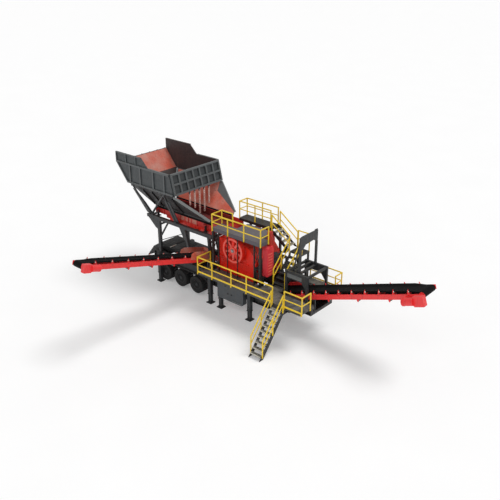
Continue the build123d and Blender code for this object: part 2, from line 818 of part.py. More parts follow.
def leaning(foot, head, width):
    """Outline of a strut cut level at its foot and head."""
    return [
        (foot[0] - width / 2, foot[1]),
        (foot[0] + width / 2, foot[1]),
        (head[0] + width / 2, head[1]),
        (head[0] - width / 2, head[1]),
    ]


def feeder_supports():
    """Posts, braces and gusset plates that stand the feeder frame on the chassis."""
    half = POST_SECTION / 2
    top = FRAME_TOP - FRAME_DEPTH
    y = -BEAM_SPREAD
    side = []
    for foot_x, head_x, width in (
        (REAR_POST_X, REAR_POST_X, REAR_POST_WIDTH),
        (MIDDLE_POST_FOOT, MIDDLE_POST_HEAD, POST_SECTION),
        (FRONT_POST_FOOT, FRONT_POST_HEAD, POST_SECTION),
    ):
        post = leaning((foot_x, post_foot(foot_x)), (head_x, top), width)
        side.append(along_y(post, y - half, y + half))
    thin = BRACE / 2
    lift = post_foot(REAR_POST_X)
    short = leaning((REAR_POST_X, lift + 900), (REAR_POST_X + 780, top), BRACE)
    long = leaning((REAR_POST_X, lift + 720), (MIDDLE_POST_HEAD - 100, top - 330), BRACE)
    for outline in (short, long):
        side.append(along_y(outline, y - thin, y + thin))
    wall = REAR_POST_X - REAR_POST_WIDTH / 2 + 10
    rear_plate = [
        (FRAME_REAR, top),
        (wall, top),
        (wall, top - GUSSET_DEPTH),
        (wall - GUSSET_RUN * 0.27, top - GUSSET_DEPTH * 0.85),
    ]
    middle_plate = [
        (MIDDLE_POST_HEAD - POST_SECTION * 3, top),
        (MIDDLE_POST_HEAD, top),
        (MIDDLE_POST_HEAD + POST_SECTION, top - GUSSET_DEPTH),
        (MIDDLE_POST_HEAD - POST_SECTION / 2, top - GUSSET_DEPTH * 1.1),
    ]
    for outline in (rear_plate, middle_plate):
        side.append(along_y(outline, y - 15, y + 15))
    near = joined(side)
    cross_z = top - CROSS_BRACE_DROP
    front_rise = (cross_z - post_foot(FRONT_POST_FOOT)) / (top - post_foot(FRONT_POST_FOOT))
    front_x = FRONT_POST_FOOT + (FRONT_POST_HEAD - FRONT_POST_FOOT) * front_rise
    cross = []
    for x in (REAR_POST_X, front_x):
        reach = BEAM_SPREAD - half - SEAT
        cross.append(bar((x, -reach, cross_z), (x, reach, cross_z), BRACE))
    return loose([near, across(near)] + cross)


def hopper_struts():
    """Struts from the feeder frame out to the hopper's knee on each side."""
    y_low = -BEAM_SPREAD
    y_high = -HOPPER_HALF + HOPPER_PLATE / 2
    apex_z = HOPPER_KNEE
    near = []
    for apex_x, feet in ((1050, (-1030, 1030)), (-1650, (-1180,))):
        head = block(apex_x - 120, apex_x + 120, y_high - 60, y_high + 10, apex_z - 130, apex_z)
        node = [head]
        for foot_x in feet:
            node.append(bar((foot_x, y_low, FRAME_TOP + 75), (apex_x, y_high - 20, apex_z - 90), BRACE))
            node.append(block(foot_x - 110, foot_x + 110, y_low - 70, y_low + 50, FRAME_TOP, FRAME_TOP + 60))
        node.append(strut_plate(feet[-1], apex_x))
        near.append(joined(node))
    near = loose(near)
    return loose([near, across(near)])


def strut_plate(foot_x, apex_x):
    """Broad plate welded to a strut from the feeder frame up towards the knee."""
    low, high = FRAME_TOP + 75, HOPPER_KNEE - 90
    y_low, y_high = -BEAM_SPREAD, -HOPPER_HALF + HOPPER_PLATE / 2 - 20
    share = 0.78
    foot = (foot_x + STRUT_PLATE_SHIFT, y_low, low)
    head = (
        foot_x + STRUT_PLATE_SHIFT + share * (apex_x - foot_x),
        y_low + share * (y_high - y_low),
        low + share * (high - low),
    )
    return bar(foot, head, STRUT_PLATE_WIDTH, BRACE * 0.4)


def crusher_outline():
    """Side outline of the crusher's frame."""
    low = MID_BEAM_TOP + SKID_HEIGHT
    return [
        (CRUSHER_REAR, low),
        (CRUSHER_FRONT, low),
        (CRUSHER_FRONT, low + 1000),
        (CRUSHER_FRONT - 150, low + 1230),
        (SHAFT_X + 900, SHAFT_Z + 220),
        (SHAFT_X + 540, SHAFT_Z + 350),
        (SHAFT_X + 250, CRUSHER_TOP - 60),
        (SHAFT_X - 400, CRUSHER_TOP),
        (SHAFT_X - 600, MOUTH_TOP),
        (CRUSHER_REAR, MOUTH_TOP),
    ]


def mouth_cut():
    """Wedge-shaped crushing chamber between the jaws."""
    low = MID_BEAM_TOP + SKID_HEIGHT
    rear = CRUSHER_REAR + CRUSHER_PLATE + JAW_THICK
    outline = [
        (rear - JAW_THICK, low - 10),
        (rear + DISCHARGE_LENGTH + JAW_THICK, low - 10),
        (rear + MOUTH_LENGTH + JAW_THICK, MOUTH_TOP),
        (rear + MOUTH_LENGTH + JAW_THICK, CRUSHER_TOP + 10),
        (rear - JAW_THICK, CRUSHER_TOP + 10),
    ]
    return along_y(outline, -MOUTH_HALF, MOUTH_HALF)


def crusher_body():
    """Crusher frame: side plates with ribs, bearing housings and the open jaw chamber."""
    body = along_y(crusher_outline(), -CRUSHER_HALF, CRUSHER_HALF)
    body -= mouth_cut()
    low = MID_BEAM_TOP + SKID_HEIGHT
    parts = []
    for side in (-1, 1):
        edge = side * CRUSHER_HALF
        out = edge + side * 60
        parts.append(block(CRUSHER_REAR, CRUSHER_FRONT, edge, out, low, low + 90))
        parts.append(block(CRUSHER_REAR, CRUSHER_FRONT - 500, edge, out, low + 560, low + 640))
        for x in (CRUSHER_REAR, CRUSHER_REAR + 620, CRUSHER_FRONT - 90):
            parts.append(block(x, x + 70, edge, out, low, low + 700))
        parts.append(rod_y(SHAFT_X, SHAFT_Z, 330, edge, edge + side * 100))
    body = joined([body] + parts)
    reach = CRUSHER_HALF + 200
    body -= rod_y(SHAFT_X, SHAFT_Z, SHAFT_RADIUS + RUN_FIT, -reach, reach)
    return body


def crusher_skid():
    """Red base frame that seats the crusher across the main beams."""
    low = MID_BEAM_TOP
    high = low + SKID_HEIGHT
    pieces = []
    for side in (-1, 1):
        inner = side * 760
        rail = block(CRUSHER_REAR, CRUSHER_FRONT, inner, side * SKID_HALF, low, high)
        web = side * (SKID_HALF - 60)
        rail -= block(CRUSHER_REAR, CRUSHER_FRONT, web, side * SKID_HALF, low + 50, high - 50)
        pieces.append(rail)
    return loose(pieces)


def jaw_die(swing):
    """Toothed jaw plate, its vertical teeth standing into the chamber."""
    low = MID_BEAM_TOP + SKID_HEIGHT + 20
    high = MOUTH_TOP - 40
    rear = CRUSHER_REAR + CRUSHER_PLATE + SEAT
    half = MOUTH_HALF - 4
    pitch = 2 * half / JAW_TEETH
    root = JAW_THICK * 0.6
    outline = [(0, -half)]
    for i in range(JAW_TEETH):
        y = -half + i * pitch
        outline += [(root, y), (JAW_THICK, y + pitch * 0.35), (JAW_THICK, y + pitch * 0.65)]
    outline += [(root, half), (0, half)]
    if not swing:
        return Pos(rear, 0, 0) * along_z(outline, low, high)
    top_gap = MOUTH_LENGTH + 2 * JAW_THICK
    low_gap = DISCHARGE_LENGTH + 2 * JAW_THICK
    height = MOUTH_TOP - MID_BEAM_TOP - SKID_HEIGHT
    lean = math.degrees(math.atan2(top_gap - low_gap, height + 10))
    length = (high - low) / math.cos(math.radians(lean))
    plate = along_z([(-x, y) for x, y in outline], 0, length)
    foot_x = CRUSHER_REAR + CRUSHER_PLATE + low_gap - SEAT / math.cos(math.radians(lean))
    foot_x += (low - MID_BEAM_TOP - SKID_HEIGHT + 10) * math.tan(math.radians(lean))
    return Pos(foot_x, 0, low) * Rot(0, lean, 0) * plate


def flywheel():
    """Near flywheel: heavy rim, five tapered spokes and a keyed hub on the shaft."""
    outer = Cylinder(FLYWHEEL_RADIUS, FLYWHEEL_WIDTH)
    rim = outer - Cylinder(FLYWHEEL_RADIUS - FLYWHEEL_RIM, FLYWHEEL_WIDTH)
    hub = Cylinder(SHAFT_RADIUS + 110, FLYWHEEL_WIDTH)
    reach = FLYWHEEL_RADIUS - FLYWHEEL_RIM + 20
    spoke = [(100, -110), (reach, -70), (reach, 70), (100, 110)]
    arm = Pos(0, 0, -FLYWHEEL_WIDTH * 0.3) * along_z(spoke, 0, FLYWHEEL_WIDTH * 0.6)
    arms = [Rot(0, 0, 90 + i * 360 / FLYWHEEL_SPOKES) * arm for i in range(FLYWHEEL_SPOKES)]
    wheel_solid = joined([rim, hub] + arms)
    wheel_solid -= Cylinder(SHAFT_RADIUS, FLYWHEEL_WIDTH)
    y = -(CRUSHER_HALF + 100 + FLYWHEEL_GAP + FLYWHEEL_WIDTH / 2)
    return Pos(SHAFT_X, y, SHAFT_Z) * Rot(90, 0, 0) * wheel_solid


def shaft_reach():
    """Distance of the eccentric shaft's ends from the centre line."""
    return CRUSHER_HALF + 100 + FLYWHEEL_GAP + FLYWHEEL_WIDTH + 15


def eccentric_shaft():
    """Shaft that carries both flywheels."""
    return rod_y(SHAFT_X, SHAFT_Z, SHAFT_RADIUS, -shaft_reach(), shaft_reach())


def flywheel_guard():
    """Two upright bars and their feet in front of the near flywheel."""
    y = -shaft_reach() - 35
    pieces = []
    for x in (SHAFT_X - 330, SHAFT_X + 420):
        post = block(x - 20, x + 20, y - 20, y + 20, WALK_DECK, UPPER_DECK - FASCIA_DEPTH)
        pieces.append(post)
    return loose(pieces)


def motor_x():
    """Place of the motor's shaft, just ahead of the crusher's front."""
    return CRUSHER_FRONT + MOTOR_GAP


def stool_top():
    """Height of the stool's plate under the motor's feet."""
    return MOTOR_Z - MOTOR_RADIUS - STOOL_THICK


def motor():
    """Electric motor with cooling fins, its feet on a stool across the beams."""
    x = motor_x()
    near, far = -MOTOR_LENGTH * 0.57, MOTOR_LENGTH * 0.43
    parts = [
        rod_y(x, MOTOR_Z, MOTOR_RADIUS, near, far),
        rod_y(x, MOTOR_Z, MOTOR_RADIUS * 0.8, near - 130, near),
    ]
    fins = 6
    for i in range(fins):
        y = near + 120 + i * (MOTOR_LENGTH - 240) / fins
        parts.append(rod_y(x, MOTOR_Z, MOTOR_RADIUS + MOTOR_FIN, y, y + 60))
    half = MOTOR_RADIUS * 0.9
    parts.append(block(x - half, x + half, near + 60, far - 60, stool_top(), MOTOR_Z - MOTOR_RADIUS + 80))
    return joined(parts + [motor_pulley()])


def motor_stool():
    """Plate across the beams under the motor, on four legs."""
    x = motor_x()
    half = MOTOR_RADIUS * 0.95
    edge = BEAM_SPREAD + 40
    low = stool_top() - STOOL_THICK
    pieces = [block(x - half, x + half, -edge, edge, low, stool_top())]
    for y in (-BEAM_SPREAD, BEAM_SPREAD):
        for leg_x in (x - half + 40, x + half - 40):
            pieces.append(block(leg_x - 40, leg_x + 40, y - 40, y + 40, MID_BEAM_TOP, low - SEAT))
    return loose(pieces)


def cover_rear():
    """Rear face of the end cover."""
    return CRUSHER_FRONT + COVER_GAP


def cover_frame():
    """Cross beam with its posts under the end cover."""
    x0 = cover_rear() + 80
    x1 = x0 + 120
    beam = block(x0, x1, -BEAM_SPREAD - 40, BEAM_SPREAD + 40, COVER_FOOT - 140, COVER_FOOT - SEAT)
    for y in (-BEAM_SPREAD, BEAM_SPREAD):
        beam += block(x0, x1, y - 40, y + 40, MID_BEAM_TOP, COVER_FOOT - 140)
    return beam


def end_cover():
    """Red louvred cover at the crusher's front, rounded over its top, with the duct above it."""
    y0, y1 = COVER_NEAR, COVER_NEAR + COVER_WIDTH
    x0, x1 = cover_rear(), cover_rear() + COVER_DEPTH
    body = block(x0, x1, y0, y1, COVER_FOOT, COVER_TOP)
    crown = body.edges().filter_by(Axis.X).sort_by(Axis.Z)[-2:]
    body = fillet(crown, COVER_WIDTH * 0.4)
    pitch = (COVER_TOP - COVER_FOOT) * 0.78 / COVER_SLOTS
    for i in range(COVER_SLOTS):
        z = COVER_FOOT + pitch * (i + 0.6)
        body -= block(x1 - 45, x1, y0 + 70, y1 - 70, z, z + pitch * 0.45)
    duct_y = y1 - 10
    duct = block(x0 + 60, x1 - 60, duct_y - DUCT_WIDTH, duct_y, COVER_TOP - 200, DUCT_TOP)
    return body + duct


def rail_side(start, end, bays, toe=False, first=True, last=True):
    """One straight side of a railing, all one piece; bays is a count or the inner posts' places."""
    a = Vector(*start)
    b = Vector(*end)
    up = Vector(0, 0, RAIL_HEIGHT - RAIL_TUBE / 2)
    knee = Vector(0, 0, RAIL_HEIGHT * 0.52)
    run = b - a
    flat = Vector(run.X, run.Y, 0).normalized() * (RAIL_TUBE / 2)
    if isinstance(bays, int):
        places = [i / bays for i in range(bays + 1)]
    else:
        places = [0] + [place / run.length for place in bays] + [1]
    pieces = []
    for place in places:
        if (place == 0 and not first) or (place == 1 and not last):
            continue
        foot = a + run * place
        pieces.append(block(
            foot.X - RAIL_TUBE / 2, foot.X + RAIL_TUBE / 2,
            foot.Y - RAIL_TUBE / 2, foot.Y + RAIL_TUBE / 2,
            foot.Z, foot.Z + RAIL_HEIGHT,
        ))
    rail_a = a if first else a + flat * 1.012
    rail_b = b if last else b - flat * 1.012
    for lift, size in ((up, RAIL_TUBE), (knee, RAIL_TUBE * 0.8)):
        pieces.append(bar(tuple(rail_a + lift), tuple(rail_b + lift), size))
    if toe:
        low = Vector(0, 0, RAIL_DROP + TOE_HEIGHT / 2)
        pieces.append(bar(tuple(rail_a + low), tuple(rail_b + low), 16, TOE_HEIGHT))
    return joined(pieces)


def post_room():
    """Width kept free along a deck's edge for the railing posts beside it."""
    return RAIL_TUBE + SEAT


def mouth_edge():
    """Edge of the upper deck at the crusher's mouth."""
    return CRUSHER_REAR + MOUTH_REACH


def upper_platform():
    """Deck round the crusher's mouth with its deep edge fascia inside the railing posts."""
    rear = UPPER_REAR + post_room()
    front = UPPER_FRONT - post_room()
    near = UPPER_EDGE + post_room()
    inner = UPPER_INNER - post_room()
    outline = [
        (rear, near),
        (front, near),
        (front, UPPER_STEP_Y),
        (UPPER_STEP_X, UPPER_STEP_Y),
        (UPPER_STEP_X, UPPER_FAR),
        (mouth_edge(), UPPER_FAR),
        (mouth_edge(), inner),
        (rear, inner),
    ]
    deck = along_z(outline, UPPER_DECK - DECK_THICK, UPPER_DECK)
    low = UPPER_DECK - FASCIA_DEPTH
    thick = FASCIA_THICK
    sides = [
        block(rear, front, near, near + thick, low, UPPER_DECK),
        block(front - thick, front, near, UPPER_STEP_Y, low, UPPER_DECK),
        block(rear, rear + thick, near, -FEEDER_HALF - 60, low, UPPER_DECK),
        block(UPPER_STEP_X - thick, UPPER_STEP_X, UPPER_STEP_Y, UPPER_FAR, low, UPPER_DECK),
    ]
    return joined([deck] + sides)


def upper_columns():
    """Columns and cross braces that carry the upper platform from the walkway."""
    top = UPPER_DECK - FASCIA_DEPTH
    half = COLUMN / 2
    y = UPPER_EDGE + half
    pieces = []
    for x, inward in ((UPPER_REAR + half, 1), (UPPER_FRONT - half, -1)):
        post = block(x - half, x + half, y - half, y + half, WALK_DECK, top)
        post += block(x - 110, x + 110, y - 110, y + 110, WALK_DECK, WALK_DECK + 20)
        second = x + inward * 420
        post += block(second - 30, second + 30, y - 30, y + 30, WALK_DECK, top)
        middle = (WALK_DECK + top) / 2
        for low, high in ((WALK_DECK + 60, middle), (middle, top - 40)):
            post += bar((x, y, low), (second, y, high), 30)
            post += bar((x, y, high), (second, y, low), 30)
        pieces.append(post)
    stub = 40
    corner_x = UPPER_STEP_X - FASCIA_THICK - SEAT - stub
    corner_y = UPPER_STEP_Y + half
    under = UPPER_DECK - DECK_THICK
    pieces.append(block(
        corner_x - stub, corner_x + stub, corner_y - stub, corner_y + stub, stool_top(), under,
    ))
    return loose(pieces)


def upper_rails():
    """Railings on the upper platform's open edges, their posts down to the fascia's lower edge."""
    inset = RAIL_TUBE / 2
    z = UPPER_DECK - UPPER_RAIL_DROP
    near = UPPER_EDGE + inset
    rear = UPPER_REAR + inset
    front = UPPER_FRONT - inset
    inner = UPPER_INNER - inset
    mouth = CRUSHER_REAR + MOUTH_RAIL
    return loose([
        rail_side((rear, near, z), (front, near, z), 3),
        rail_side((rear, near, z), (rear, inner, z), 1, first=False),
        rail_side((rear, inner, z), (mouth, inner, z), 1, first=False),
        rail_side((front, near, z), (front, UPPER_STEP_Y - inset, z), 1, first=False),
    ])


def high_platform():
    """Narrow deck along the crusher's far side on its own columns."""
    deck = block(HIGH_REAR, HIGH_FRONT, HIGH_NEAR, HIGH_FAR, HIGH_DECK - DECK_THICK, HIGH_DECK)
    low = HIGH_DECK - 160
    pieces = [deck]
    for y in (HIGH_NEAR, HIGH_FAR - 40):
        pieces.append(block(HIGH_REAR, HIGH_FRONT, y, y + 40, low, HIGH_DECK))
    for x in (HIGH_REAR, HIGH_FRONT - 40):
        pieces.append(block(x, x + 40, HIGH_NEAR, HIGH_FAR, low, HIGH_DECK))
    return joined(pieces)


def high_columns():
    """Far columns of the high platform, standing outside the far flywheel, and their tie."""
    half = COLUMN / 2
    y = shaft_reach() + 40 + half
    low = HIGH_DECK - 160
    pieces = []
    for x in (HIGH_REAR + half, HIGH_FRONT - half):
        post = block(x - half, x + half, y - half, y + half, WALK_DECK, low)
        post += block(x - half, x + half, HIGH_FAR - 200, y + half, low - 100, low)
        pieces.append(post)
    rear, front = HIGH_REAR + COLUMN, HIGH_FRONT - COLUMN
    tie_z = WALK_DECK + 900
    pieces.append(bar((rear + SEAT, y, tie_z), (front - SEAT, y, tie_z), 50))
    return loose(pieces)


def high_rails():
    """Railings round the high platform, open where the stair arrives."""
    inset = RAIL_TUBE / 2
    z = HIGH_DECK
    near = HIGH_NEAR + inset
    far = HIGH_FAR - inset
    rear = HIGH_REAR + inset
    front = HIGH_FRONT - inset
    return loose([
        rail_side((rear, far, z), (front, far, z), 2),
        rail_side((rear, near, z), (rear, far, z), 1, last=False),
        rail_side((rear, near, z), (front, near, z), 2, first=False),
    ])


def flight(top, bottom, width, steps):
    """Stair flight of two stringers with treads between them; it runs down along plus Y."""
    drop = top[1] - bottom[1]
    run = bottom[0] - top[0]
    slope = Vector(0, run, -drop).normalized()
    depth = STRINGER_DEPTH / slope.Y
    outline = [
        (top[0], top[1]),
        (bottom[0], bottom[1]),
        (bottom[0] - depth * 0.9, bottom[1]),
        (top[0], top[1] - depth * drop / run * 0.9),
    ]
    half = width / 2
    pieces = [
        along_x(outline, -half, -half + STRINGER_THICK),
        along_x(outline, half - STRINGER_THICK, half),
    ]
    tread_half = half - STRINGER_THICK - SEAT
    for i in range(1, steps + 1):
        y = top[0] + run * i / (steps + 1)
        z = top[1] - drop * i / (steps + 1)
        reach = TREAD_DEPTH / 2
        pieces.append(block(-tread_half, tread_half, y - reach, y + reach, z - TREAD_THICK, z))
    return loose(pieces)


def landing_rear():
    """Rear edge of the landing, at the upper flight's foot."""
    return HIGH_FRONT + UPPER_FLIGHT_RUN


def landing_front():
    """Front edge of the landing."""
    return landing_rear() + LANDING_LENGTH


def upper_flight():
    """Flight from the high platform down to the landing."""
    width = HIGH_FAR - HIGH_NEAR - 20
    stair = flight((0, HIGH_DECK), (UPPER_FLIGHT_RUN - 2 * SEAT, LANDING_DECK), width, 4)
    middle = (HIGH_NEAR + HIGH_FAR) / 2
    return Pos(HIGH_FRONT + SEAT, middle, 0) * Rot(0, 0, -90) * stair


def landing():
    """Landing between the two flights, on two legs over the far main beam."""
    deck = block(landing_rear(), landing_front(), HIGH_NEAR, HIGH_FAR, LANDING_DECK - 100, LANDING_DECK)
    legs = []
    for x in (landing_rear() + 60, landing_front() - 60):
        legs.append(block(x - 45, x + 45, HIGH_FAR - 90, HIGH_FAR, WALK_DECK, LANDING_DECK - 100 - SEAT))
    return loose([deck] + legs)


def lower_flight_foot():
    """Where the lower flight meets the chassis deck."""
    return -1010


def lower_flight():
    """Steep flight from the landing down to the deck beside the main conveyor."""
    width = LANDING_LENGTH - 60
    run = HIGH_NEAR - lower_flight_foot()
    stair = flight((SEAT, LANDING_DECK), (run, WALK_DECK), width, 6)
    middle = landing_rear() + LANDING_LENGTH / 2
    return Pos(middle, HIGH_NEAR, 0) * Rot(0, 0, 180) * stair


def stair_rails():
    """Hand rails of the two inner flights and the landing."""
    inset = RAIL_TUBE / 2
    foot = 150
    drop = (HIGH_DECK - LANDING_DECK) / (UPPER_FLIGHT_RUN)
    upper_x = HIGH_FRONT + inset + 60
    lower_x = landing_rear() - inset - 20
    pieces = []
    for y in (HIGH_FAR - 10 + inset + SEAT, HIGH_NEAR + 10 - inset - SEAT):
        start = (upper_x, y, HIGH_DECK - drop * (upper_x - HIGH_FRONT) - foot)
        end = (lower_x, y, HIGH_DECK - drop * (lower_x - HIGH_FRONT) - foot)
        side = rail_side(start, end, 1)
        pieces.append(side)
    z = LANDING_DECK
    edge_x = landing_front() - inset
    pieces.append(rail_side((edge_x, HIGH_NEAR + inset, z), (edge_x, HIGH_FAR - inset, z), 1))
    far_y = HIGH_FAR - inset
    pieces.append(rail_side((landing_rear() + inset, far_y, z), (edge_x, far_y, z), 1, last=False))
    pieces.extend(lower_rails(foot))
    return loose(pieces)


def lower_rails(foot):
    """Hand rails outside both stringers of the lower flight."""
    inset = RAIL_TUBE / 2
    slope = (LANDING_DECK - WALK_DECK) / (HIGH_NEAR - lower_flight_foot())
    start_y = HIGH_NEAR - inset - 60
    start_z = LANDING_DECK - slope * (HIGH_NEAR - start_y) - foot
    end_z = WALK_DECK + SEAT
    end_y = start_y - (start_z - end_z) / slope
    sides = []
    for x in (landing_rear() + 30 - inset - SEAT, landing_front() - 30 + inset + SEAT):
        sides.append(rail_side((x, start_y, start_z), (x, end_y, end_z), 2))
    return sides


def deck_plate(x0, x1, y0, y1):
    """Walkway deck with edge channels underneath."""
    low = WALK_DECK - DECK_DEPTH
    return joined([
        block(x0, x1, y0, y1, WALK_DECK - DECK_THICK, WALK_DECK),
        block(x0, x1, y0, y0 + 50, low, WALK_DECK),
        block(x0, x1, y1 - 50, y1, low, WALK_DECK),
    ])


def walk_edge():
    """Near edge of the walkway's deck, inside its railing posts."""
    return WALK_EDGE + post_room()


def near_walkway():
    """Walkway deck along the near side with brackets back to the main beam."""
    inner = -SKID_HALF - 20
    deck = deck_plate(WALK_REAR + post_room(), WALK_FRONT - post_room(), walk_edge(), inner)
    brackets = []
    x = WALK_REAR + 500
    under = WALK_DECK - DECK_DEPTH - SEAT
    while x < CHASSIS_FRONT:
        face = -beam_line(x) - BEAM_WIDTH / 2
        outline = [
            (face, MID_BEAM_TOP - 400),
            (face, under),
            (walk_edge() + 60, under),
            (walk_edge() + 60, MID_BEAM_TOP - 20),
        ]
        brackets.append(along_x(outline, x - 20, x + 20))
        x += 1480
    return loose([deck] + brackets)


def inner_deck_rear():
    """Rear edge of the decks beside the main conveyor."""
    return CRUSHER_FRONT + INNER_DECK_GAP


def inner_deck():
    """Deck plate between the near walkway and the main conveyor, under the lower flight."""
    x0, x1 = inner_deck_rear(), PORTAL_REAR - 60
    return block(x0, x1, -SKID_HALF - 20 + SEAT, -INNER_DECK_HALF, WALK_DECK - DECK_THICK, WALK_DECK)


def inner_deck_carriers():
    """Packers between the main beams and the decks above them."""
    pieces = []
    inner = BEAM_SPREAD - BEAM_WIDTH / 2
    outer = BEAM_SPREAD + BEAM_WIDTH / 2
    for x in (landing_rear() + 60, PORTAL_REAR - 160):
        pieces.append(block(x - 40, x + 40, -outer, -inner, MID_BEAM_TOP, WALK_DECK - DECK_THICK - SEAT))
    return pieces


def near_rails():
    """Yellow railing of the near walkway, open at the ground stair."""
    inset = RAIL_TUBE / 2
    z = WALK_DECK - RAIL_DROP
    y = WALK_EDGE + inset
    rear = WALK_REAR + inset
    front = WALK_FRONT - inset
    end_y = -1640
    gate = inset + SEAT
    return loose([
        rail_side((rear, y, z), (STAIR_REAR - gate, y, z), WALK_BAYS, toe=True),
        rail_side((STAIR_FRONT + gate, y, z), (front, y, z), 1, toe=True),
        rail_side((front, y, z), (front, end_y, z), 1, first=False),
        rail_side((rear, y, z), (rear, -SKID_HALF - 60, z), 1, first=False),
    ])


def far_walkway():
    """Decks on the far side: beside the conveyor, and outside the far flywheel."""
    under = WALK_DECK - DECK_THICK
    half = BEAM_WIDTH / 2
    outer = BEAM_SPREAD + half
    front = FAR_WALK_FRONT - post_room()
    edge = FAR_WALK_EDGE - post_room()
    deck = block(inner_deck_rear(), front, INNER_DECK_HALF, edge, under, WALK_DECK)
    for x in (PORTAL_REAR + 60, PORTAL_FRONT - 60):
        deck -= block(x - 75, x + 75, NECK_SPREAD - 65, NECK_SPREAD + 85, under, WALK_DECK)
    pieces = [
        deck,
        block(HIGH_REAR - 60, inner_deck_rear() - 60, outer + 20, side_deck_edge(), under, WALK_DECK),
    ]
    for x in (inner_deck_rear() + 90, PORTAL_REAR - 160, PORTAL_FRONT + 80, CHASSIS_FRONT - 60):
        line = beam_line(x)
        pieces.append(block(x - 40, x + 40, line - half, line + half, MID_BEAM_TOP, under - SEAT))
    for x in (HIGH_REAR + 60, HIGH_FRONT - 60, inner_deck_rear() - 140):
        outline = [
            (outer, MID_BEAM_TOP - 300),
            (outer, under - SEAT),
            (side_deck_edge() - 40, under - SEAT),
            (side_deck_edge() - 40, under - 80),
        ]
        pieces.append(along_x(outline, x - 20, x + 20))
    return loose(pieces)


def side_deck_edge():
    """Outer edge of the far deck beside the crusher."""
    return shaft_reach() + 260


def far_rails():
    """Railing along the far walkway and across its front end."""
    inset = RAIL_TUBE / 2
    z = WALK_DECK - RAIL_DROP
    y = FAR_WALK_EDGE - inset
    front = FAR_WALK_FRONT - inset
    rear = landing_front() + 60
    return loose([
        rail_side((rear, y, z), (front, y, z), 2, toe=True),
        rail_side((front, y, z), (front, INNER_DECK_HALF + inset, z), 1, first=False),
    ])


def ground_stair():
    """Ground stair: dark stringers with open treads down to the floor."""
    width = STAIR_FRONT - STAIR_REAR
    run = walk_edge() - STAIR_FOOT_Y
    stair = flight((SEAT, WALK_DECK), (run, 0), width, 9)
    middle = (STAIR_REAR + STAIR_FRONT) / 2
    return Pos(middle, walk_edge(), 0) * Rot(0, 0, 180) * stair


def ground_stair_rails():
    """Hand rails on both sides of the ground stair."""
    inset = RAIL_TUBE / 2
    slope = WALK_DECK / (walk_edge() - STAIR_FOOT_Y)
    pieces = []
    for x in (STAIR_REAR + 10, STAIR_FRONT - 10):
        side = 1 if x > (STAIR_REAR + STAIR_FRONT) / 2 else -1
        rail_x = x + side * (10 + inset + SEAT)
        start_y = WALK_EDGE - inset - 40
        end_y = STAIR_FOOT_Y + 230
        start_z = WALK_DECK - slope * (walk_edge() - start_y) - 150
        end_z = WALK_DECK - slope * (walk_edge() - end_y) - 150
        pieces.append(rail_side((rail_x, start_y, start_z), (rail_x, end_y, end_z), 2))
    return loose(pieces)


def conveyor_frame(length, frame_width, tie_count):
    """Two channel beams tied together, with bearing plates at both drums."""
    half = frame_width / 2
    inner = half - CHANNEL_WEB
    lip = half - CHANNEL_FLANGE
    flange = 14
    channel = [
        (half, 0), (half, CHANNEL_DEPTH), (lip, CHANNEL_DEPTH), (lip, CHANNEL_DEPTH - flange),
        (inner, CHANNEL_DEPTH - flange), (inner, flange), (lip, flange), (lip, 0),
    ]
    side = along_x(channel, 0, length)
    centre = drum_height()
    plate = [
        (length - 600, 0), (length - 200, 0), (length + 110, centre - 110),
        (length + 110, centre + 110), (length - 200, centre + 110), (length - 600, CHANNEL_DEPTH),
    ]
    tail = [
        (0, 0), (500, 0), (500, CHANNEL_DEPTH), (400, centre + 110), (0, centre + 110),
    ]
    side = joined([side, along_y(plate, inner, half), along_y(tail, inner, half)])
    ties = []
    low = 130
    for i in range(tie_count):
        s = 900 + i * (length - 1800) / (tie_count - 1)
        ties.append(block(s - 40, s + 40, -inner - 5, inner + 5, low, low + 80))
    return joined([side, across(side)] + ties)


def drum_height():
    """Height of the drum centres above the frame's lower edge."""
    return (CHANNEL_DEPTH + IDLER_HEIGHT + RETURN_RUN) / 2


def drum_radius():
    """Radius of the drums, which sets the spacing of the two belt runs."""
    return (CHANNEL_DEPTH + IDLER_HEIGHT - RETURN_RUN) / 2


def tail_drum_s():
    """Place of the tail drum along the frame."""
    return drum_radius() + BELT_THICK + 20


def conveyor_belt(length, belt_width):
    """Closed belt loop round both drums with troughed wings along its upper run."""
    radius = drum_radius() + SEAT
    s0, s1 = tail_drum_s(), length
    centre = drum_height()
    half = belt_width / 2
    outer = (
        Pos((s0 + s1) / 2, 0, centre) * Box(s1 - s0, belt_width, 2 * (radius + BELT_THICK))
        + rod_y(s0, centre, radius + BELT_THICK, -half, half)
        + rod_y(s1, centre, radius + BELT_THICK, -half, half)
    )
    inner = (
        Pos((s0 + s1) / 2, 0, centre) * Box(s1 - s0, belt_width, 2 * radius)
        + rod_y(s0, centre, radius, -half, half)
        + rod_y(s1, centre, radius, -half, half)
    )
    loop = outer - inner
    top = centre + radius
    rise = trough_rise(belt_width)
    flat = half * (1 - WING_SHARE)
    s_low, s_high = s0 + 150, s1 - 150
    wings = []
    for side in (-1, 1):
        outline = [
            (side * flat, top),
            (side * half, top),
            (side * half, top + BELT_THICK + rise),
            (side * flat, top + BELT_THICK),
        ]
        wings.append(along_x(outline, s_low, s_high))
    above = top + BELT_THICK + rise + 1
    taper = [(s_high - WING_TAPER, above), (s_high + 1, top + 1), (s_high + 1, above)]
    return joined([loop] + [wing - along_y(taper, -half - 1, half + 1) for wing in wings])


def trough_rise(belt_width):
    """How far the belt's edges stand above its middle."""
    return belt_width / 2 * WING_SHARE * math.tan(math.radians(TROUGH_ANGLE))


